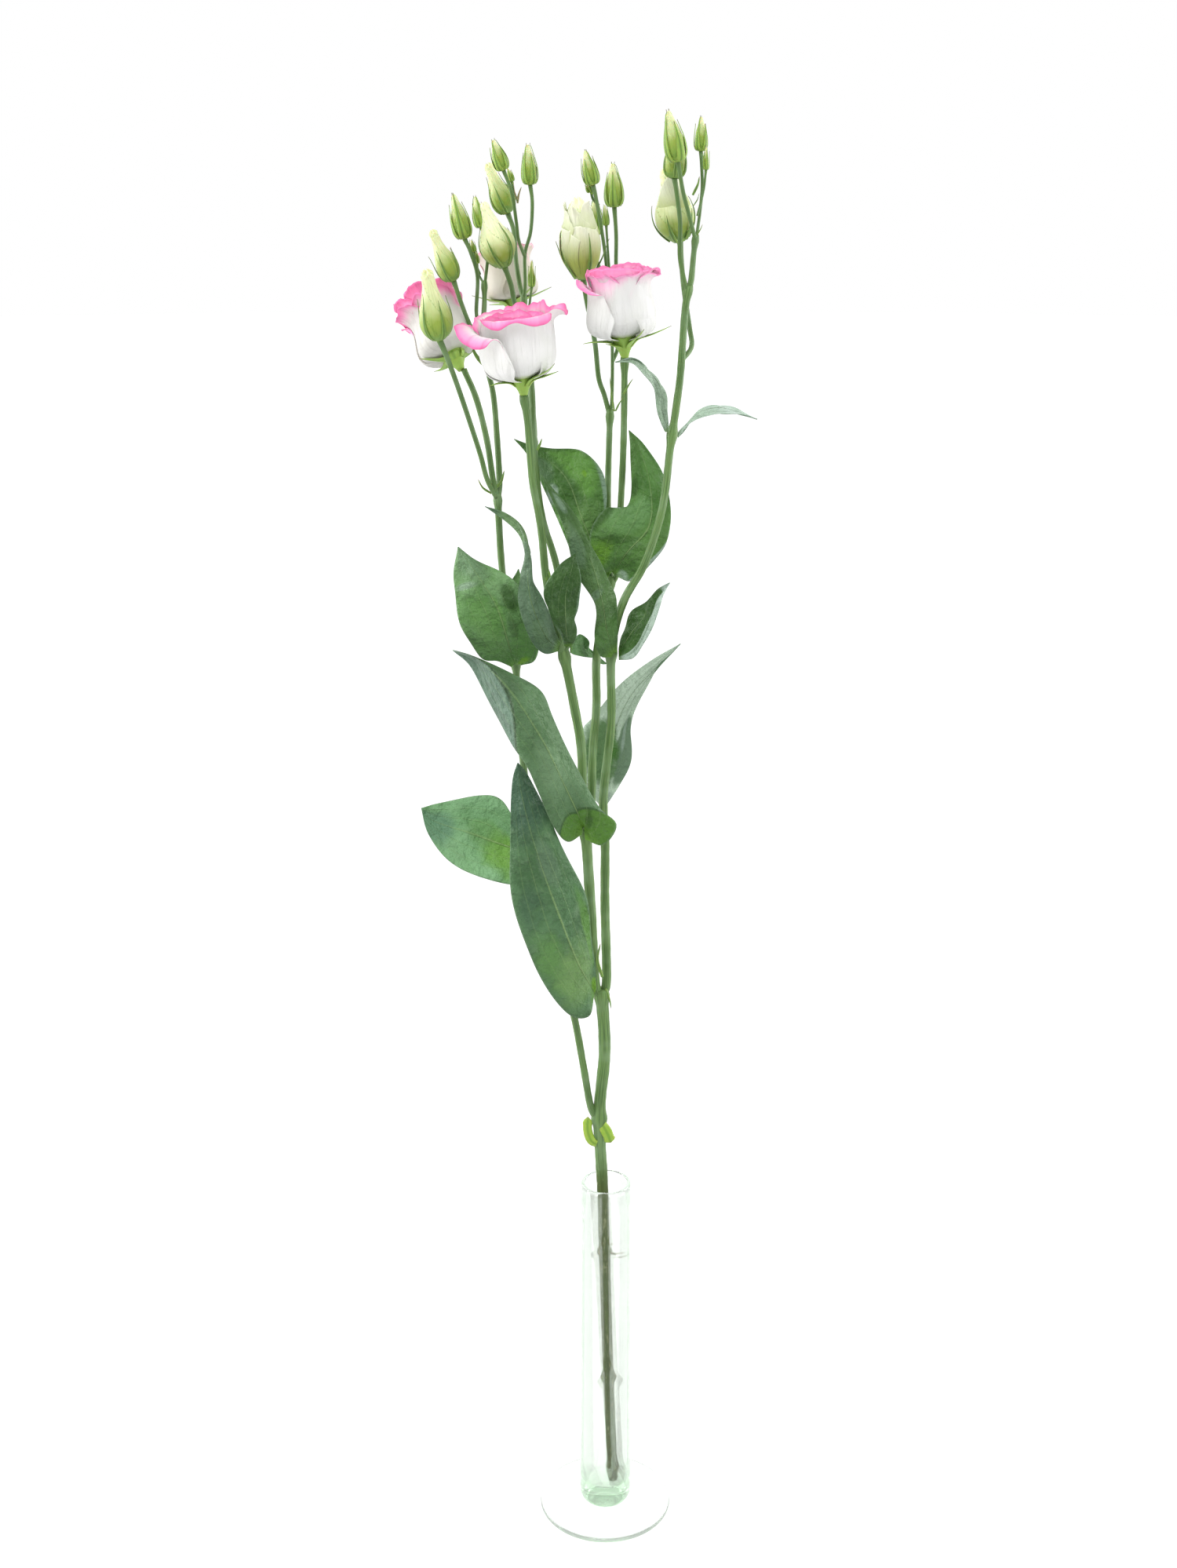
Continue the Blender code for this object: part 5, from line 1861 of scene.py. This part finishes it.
RIGHT_OUTER = (
    Petal(-79, 41.5, 27.5, STEEP, lip=0.8, lean=0.9, ruffle=0.5, waves=2, phase=0.4, curl=((-1, 34),
        (-0.7, 20), (0, 6), (0.5, 30), (0.8, 80), (1, 60)), margin=((-1, 0.93), (-0.4, 1.01),
        (0.1, 0.98), (0.45, 0.94), (0.8, 0.98), (1, 0.93)), blush=((-1, 10), (-0.4, 9), (0, 4.5),
        (0.5, 2.5), (1, 3)), foot=(4.2, 8.4)),
    Petal(-152, 44.5, 15.5, ROUNDED, lip=0.72, lean=0.2, ruffle=0.3, waves=1.6, phase=1.2,
        curl=((-1, 30), (-0.4, 60), (0.1, 104), (0.5, 116), (0.75, 50), (1, 10)), margin=((-1, 0.8),
        (-0.3, 0.95), (0.1, 0.92), (0.5, 0.82), (0.8, 0.68), (1, 0.56)), blush=((-1, 3), (0.2, 1),
        (0.6, 0.2), (1, 0)), foot=(4, 7.2)),
    Petal(142, 43.5, 18, UPRIGHT, ruffle=0.6, waves=2, phase=2.2, curl=((-1, 10), (0, 16), (1, 10)),
        foot=(2.4, 9)),
    Petal(70, 44, 18.5, UPRIGHT, ruffle=0.7, waves=2, phase=0.7, curl=((-1, 10), (0, 14), (1, 10)),
        foot=(3.4, 9)),
    Petal(-4, 43, 19, ROUNDED, lip=0.8, lean=0.3, ruffle=0.7, waves=1.8, phase=2.9, curl=((-1, 0),
        (-0.4, 60), (0, 90), (0.5, 60), (1, 20)), foot=(3.4, 6.8)),
)


def ring_of_petals(length: float, width: float, curl: float, seed: float) -> tuple[Petal, ...]:
    """Five outer petals with some natural variety.

    Args:
        length: Their usual length.
        width: Half their usual width.
        curl: The usual roll of their margins.
        seed: What makes this flower differ from others.

    Returns:
        The petals.
    """
    petals = []
    for k in range(5):
        jolt = math.sin(4.7 * k + seed)
        petals.append(Petal(
            -95 + 72 * k + 6 * jolt, length * (1 + 0.04 * jolt), width, UPRIGHT,
            curl=((-1, 0.6 * curl), (0, curl * (1 + 0.5 * jolt)), (1, 0.7 * curl)),
            ruffle=0.8 + 0.3 * jolt, waves=2.2 + 0.6 * jolt, phase=2 * jolt + seed))
    return tuple(petals)


FLOWERS = (
    Flower("flower_front", (-43, -22, 680), (-47, -27, 718), 20, FRONT_OUTER,
           ((-46, 20, 40), (-168, 10, -20), (-20, 15, 20), (62, 17, 30), (130, 17, 30)),
           finish=PetalFinish(white=(0.92, 0.915, 0.905), blush=(0.88, 0.4, 0.59),
                              outer_band=1, inner_band=11,
                              through=0.28), deep=0.76, inner_blush=0.8, seed=0.3),
    Flower("flower_right", (8, -12, 698), (5, -15, 734), 17.5, RIGHT_OUTER,
           ((-10, 19, 22), (-172, 14, -10), (-130, 6, 20), (-52, 14, 44), (100, 15, 30)),
           finish=PetalFinish(outer_band=2, inner_band=9, pink=(0.9, 0.38, 0.62),
                              deep=(0.88, 0.19, 0.45)), seed=1.1),
    Flower("flower_left", (-76, -4, 691), (-93, 15, 722), 16,
           ring_of_petals(40, 16.5, 55, 0.8),
           ((-100, 7, 84), (-165, 12, 34), (-30, 7, 82), (50, 14, 40), (120, 15, 30)),
           finish=PetalFinish(white=(0.82, 0.805, 0.775), outer_band=8.5,
                              pink=(0.9, 0.25, 0.5), blush=(0.9, 0.42, 0.61)),
           seed=2),
    Flower("flower_back", (-49, 51, 714), (-55, 56, 743), 16,
           ring_of_petals(34, 16.5, 35, 2.3),
           ((-60, 14, 20), (-150, 18, 25), (0, 15, 10), (70, 14, 10), (130, 14, 10)),
           finish=PetalFinish(white=(0.82, 0.79, 0.7), strength=0.55), seed=2.9),
)


BRIGHT = SepalFinish(face=(0.24, 0.4, 0.035), keel=(0.14, 0.28, 0.025),
                     tip=(0.2, 0.26, 0.05), base=(0.32, 0.46, 0.07))
DRY = SepalFinish(face=(0.22, 0.18, 0.08), keel=(0.12, 0.09, 0.04),
                  tip=(0.2, 0.16, 0.08), base=(0.24, 0.25, 0.09))
# Bracts, hairs, stubs and remnants of leaves, by the finish that they share.
BRACTS = {
    "stem_bracts": (SepalFinish(), (
        Bract(((-1.5, 3, 84), (-0.8, -2, 88), (-1.8, -1.4, 92)), 1.4, 0.5),
        Bract(((-0.5, 4, 343), (1.8, 3.4, 336), (2.6, 3.2, 331)), 0.7, 0.6),
        Bract(((-2.5, 0, 352), (-5.2, -2, 363), (-3.6, -4, 374)), 1, 0.3),
        Bract(((-33, -14, 590), (-31.4, -15.4, 584), (-30.4, -14.6, 577)), 1.8, 0.6),
        Bract(((-60, -1, 628), (-56, -1, 632), (-54.2, -1, 638)), 0.8, 0.3),
        Bract(((-61, -1, 626), (-65.5, -1, 629), (-68, -1, 633.5)), 0.6, 0.3),
        Bract(((-36.5, -20, 651), (-35, -20.6, 654), (-34, -21, 657)), 0.7, 0.5),
        Bract(((3, -6, 669), (1.5, -8, 678), (0.5, -10.5, 687)), 0.5, 0.25),
        Bract(((3.6, -5, 669), (5.4, -7, 673), (7.4, -8, 676)), 0.5, 0.25),
        Bract(((7.6, -8.5, 678), (10.4, -10, 683), (12.4, -11, 686)), 0.5, 0.25),
        Bract(((-64, 12, 690), (-68.5, 9, 696), (-71.5, 8, 703)), 1.1, 0.3),
        Bract(((42, 3.6, 775), (44.4, 3, 780), (45.2, 3, 784)), 0.7, 0.3),
        Bract(((42.5, 3.6, 770), (44.4, 3, 773), (45.2, 3, 776)), 0.3, 0.2),
        Bract(((43, 4, 754), (45.8, 3, 758), (47.2, 3, 761)), 0.4, 0.2))),
    "leaf_remnants": (BRIGHT, (
        Bract(((-4, 3.5, 244), (-8.4, 2.4, 247), (-10.8, 3, 254), (-10.6, 4, 262)), 2.8, 0.3,
              (-0.4, -1, 0)),
        Bract(((-2.6, 3, 258), (0.4, 2, 253), (2.8, 2.6, 246)), 3.2, 0.3, (0.2, -1, 0.1)))),
    "dry_remnants": (DRY, (
        Bract(((0.5, 1.6, 174.5), (5.6, 0.6, 173.6), (11.2, 0.4, 174.6)), 0.7, 0.35),
        Bract(((-1.5, 1, 176), (-3.8, -0.6, 174.4), (-4, 0.4, 179)), 0.8, 0.35),
        Bract(((2.4, -0.6, 88), (5.2, -0.4, 88.5), (6.2, 0, 91)), 1, 0.4),
        Bract(((-46.6, 21.5, 771), (-46, 21, 775), (-44.5, 21, 779)), 0.6, 0.3),
        Bract(((-46.8, 21.5, 771), (-48, 21, 777), (-48.6, 21, 782)), 0.25, 0.2))),
}


# ---- the studio


@dataclass
class Studio:
    """The floor, the soft light and the camera.

    Args:
        lens: Its focal length in millimetres, on a sensor 36 mm wide.
        eye: Where the camera stands, in metres.
        pitch: How far it looks down, in degrees.
        sky: How bright the surroundings are to the camera.
        fill: How bright they are to everything else.
        floor: The floor's finish.
    """

    lens: float = 43.6
    eye: Point = (-0.0103, -0.994, 0.778)
    pitch: float = 17.4
    sky: float = 1.0
    fill: float = 0.74
    floor: FloorFinish = field(default_factory=FloorFinish)

    def make_camera(self) -> None:
        """Stand the camera in front, a little above the flowers."""
        data = bpy.data.cameras.new("camera")
        data.lens = self.lens
        data.sensor_width = 36.0
        data.clip_end = 60.0
        camera = bpy.data.objects.new("camera", data)
        camera.location = self.eye
        camera.rotation_euler = (math.radians(90.0 - self.pitch), 0.0, 0.0)
        bpy.context.scene.collection.objects.link(camera)
        bpy.context.scene.camera = camera

    def make_floor(self) -> None:
        """Lay a wide round floor under the vase."""
        angle = ring(96)
        radius = np.array([1, 12000, 12000, 300, 1.0])[:, None]
        height = np.array([-30, -30, -0.1, -0.1, -0.1])[:, None]
        grid = np.stack([radius * np.cos(angle), radius * np.sin(angle),
                         height + 0 * angle], axis=-1)
        shape = Shape()
        shape.tube(grid, {})
        floor = shape.build("studio_floor", self.floor.material("studio_white"))
        floor.data.shade_flat()

    def make_lamp(self, name: str, place: Point, aim: Point, size: float, power: float) -> None:
        """Hang a square soft box.

        Args:
            name: Its name.
            place: Where it hangs, in metres.
            aim: What it points at.
            size: The length of its side.
            power: Its power in watts.
        """
        data = bpy.data.lights.new(name, "AREA")
        data.size = size
        data.energy = power
        lamp = bpy.data.objects.new(name, data)
        lamp.location = place
        lamp.rotation_euler = (Vector(aim) - Vector(place)).to_track_quat("-Z", "Y").to_euler()
        bpy.context.scene.collection.objects.link(lamp)

    def make_sky(self) -> None:
        """Surround the set with even white light."""
        world = bpy.data.worlds.new("white_room")
        world.use_nodes = True
        nodes, links = world.node_tree.nodes, world.node_tree.links
        background = nodes["Background"]
        background.inputs["Color"].default_value = (1.0, 1.0, 1.0, 1.0)
        rays = nodes.new("ShaderNodeLightPath")
        seen = nodes.new("ShaderNodeMath")
        seen.operation = "MAXIMUM"
        links.new(rays.outputs["Is Camera Ray"], seen.inputs[0])
        links.new(rays.outputs["Is Transmission Ray"], seen.inputs[1])
        strength = nodes.new("ShaderNodeMapRange")
        links.new(seen.outputs[0], strength.inputs["Value"])
        strength.inputs["To Min"].default_value = self.fill
        strength.inputs["To Max"].default_value = self.sky
        links.new(strength.outputs[0], background.inputs["Strength"])
        bpy.context.scene.world = world
        bpy.context.scene.view_settings.view_transform = "Standard"

    def make(self) -> None:
        """Build the whole studio."""
        self.make_camera()
        self.make_floor()
        self.make_sky()
        self.make_lamp("left_box", (-1.2, 0.35, 0.9), (0, 0, 0.5), 0.9, 19.0)
        self.make_lamp("right_box", (1.2, 0.35, 0.8), (0, 0, 0.5), 0.9, 15.0)
        self.make_lamp("top_box", (-0.3, -0.9, 1.8), (0, 0, 0.5), 0.9, 16.0)
        LOG.info("studio: camera, floor, sky and three soft boxes")


# ---- assembly


def grow_stems(green: Material, woody: Material) -> None:
    """Build every stem and stalk.

    Args:
        green: The finish of young stems.
        woody: The finish of the main stem, old at its foot.
    """
    for name, (foot, head, route) in STEMS.items():
        stem = Stem(name, foot, head, tuple(route), ROOTS.get(name), KNOTS.get(name, ()))
        stem.make(woody if name == "stem_main" else green)


def grow_leaves() -> None:
    """Build every leaf."""
    for number, (name, (left, rib, right, tip)) in enumerate(LEAVES.items()):
        Leaf(name, tuple(left), tuple(rib), tuple(right), tip,
             LEAF_HABITS.get(name, LeafHabit()), number).make()


def grow_buds(green: Material, sepal: Material,
              young: Material) -> None:
    """Build every bud on its stalk.

    Args:
        green: The stalks' finish.
        sepal: The calyx's finish on a ripe bud.
        young: The calyx's finish on a green bud.
    """
    for number, (name, (route, tip, size)) in enumerate((BUDS | TINY_BUDS).items()):
        habit = BUD_HABITS.get(name, BudHabit())
        bud = Bud(name, (*BUD_ROOTS.get(name, ()), *route), tip, size, habit,
                  turn=15.0 + 23.0 * number, stalk=1.3 if size > 7 else 0.45 + 0.12 * size,
                  solid=name in BUDS)
        bud.make(green, young if habit.ripeness is Ripeness.GREEN else sepal)


def grow_bracts() -> None:
    """Build the bracts, hairs and stubs along the stems, finish by finish."""
    for name, (finish, bracts) in BRACTS.items():
        shape = Shape()
        for bract in bracts:
            bract.add(shape)
        mount(shape.build(name, finish.material(name + "_skin")), Slot.CALYX)


def main() -> None:
    """Build the studio and the whole object, piece by piece."""
    logging.basicConfig(level=logging.INFO, format="%(name)s: %(message)s")
    Studio().make()
    Vase().make()
    green = StemFinish().material("young_stem")
    woody = StemFinish(old_top=0.226).material("main_stem")
    sepal = SepalFinish().material("sepal_green")
    grow_stems(green, woody)
    grow_leaves()
    young = SepalFinish(face=(0.2, 0.33, 0.05), keel=(0.065, 0.14, 0.018),
                        base=(0.24, 0.38, 0.055)).material("young_sepal")
    grow_buds(green, sepal, young)
    cup = SepalFinish(face=(0.25, 0.41, 0.075), keel=(0.16, 0.29, 0.045),
                      base=(0.25, 0.39, 0.06)).material("flower_cup")
    for flower in FLOWERS:
        flower.make(cup)
    grow_bracts()


if __name__ == "__main__":
    main()
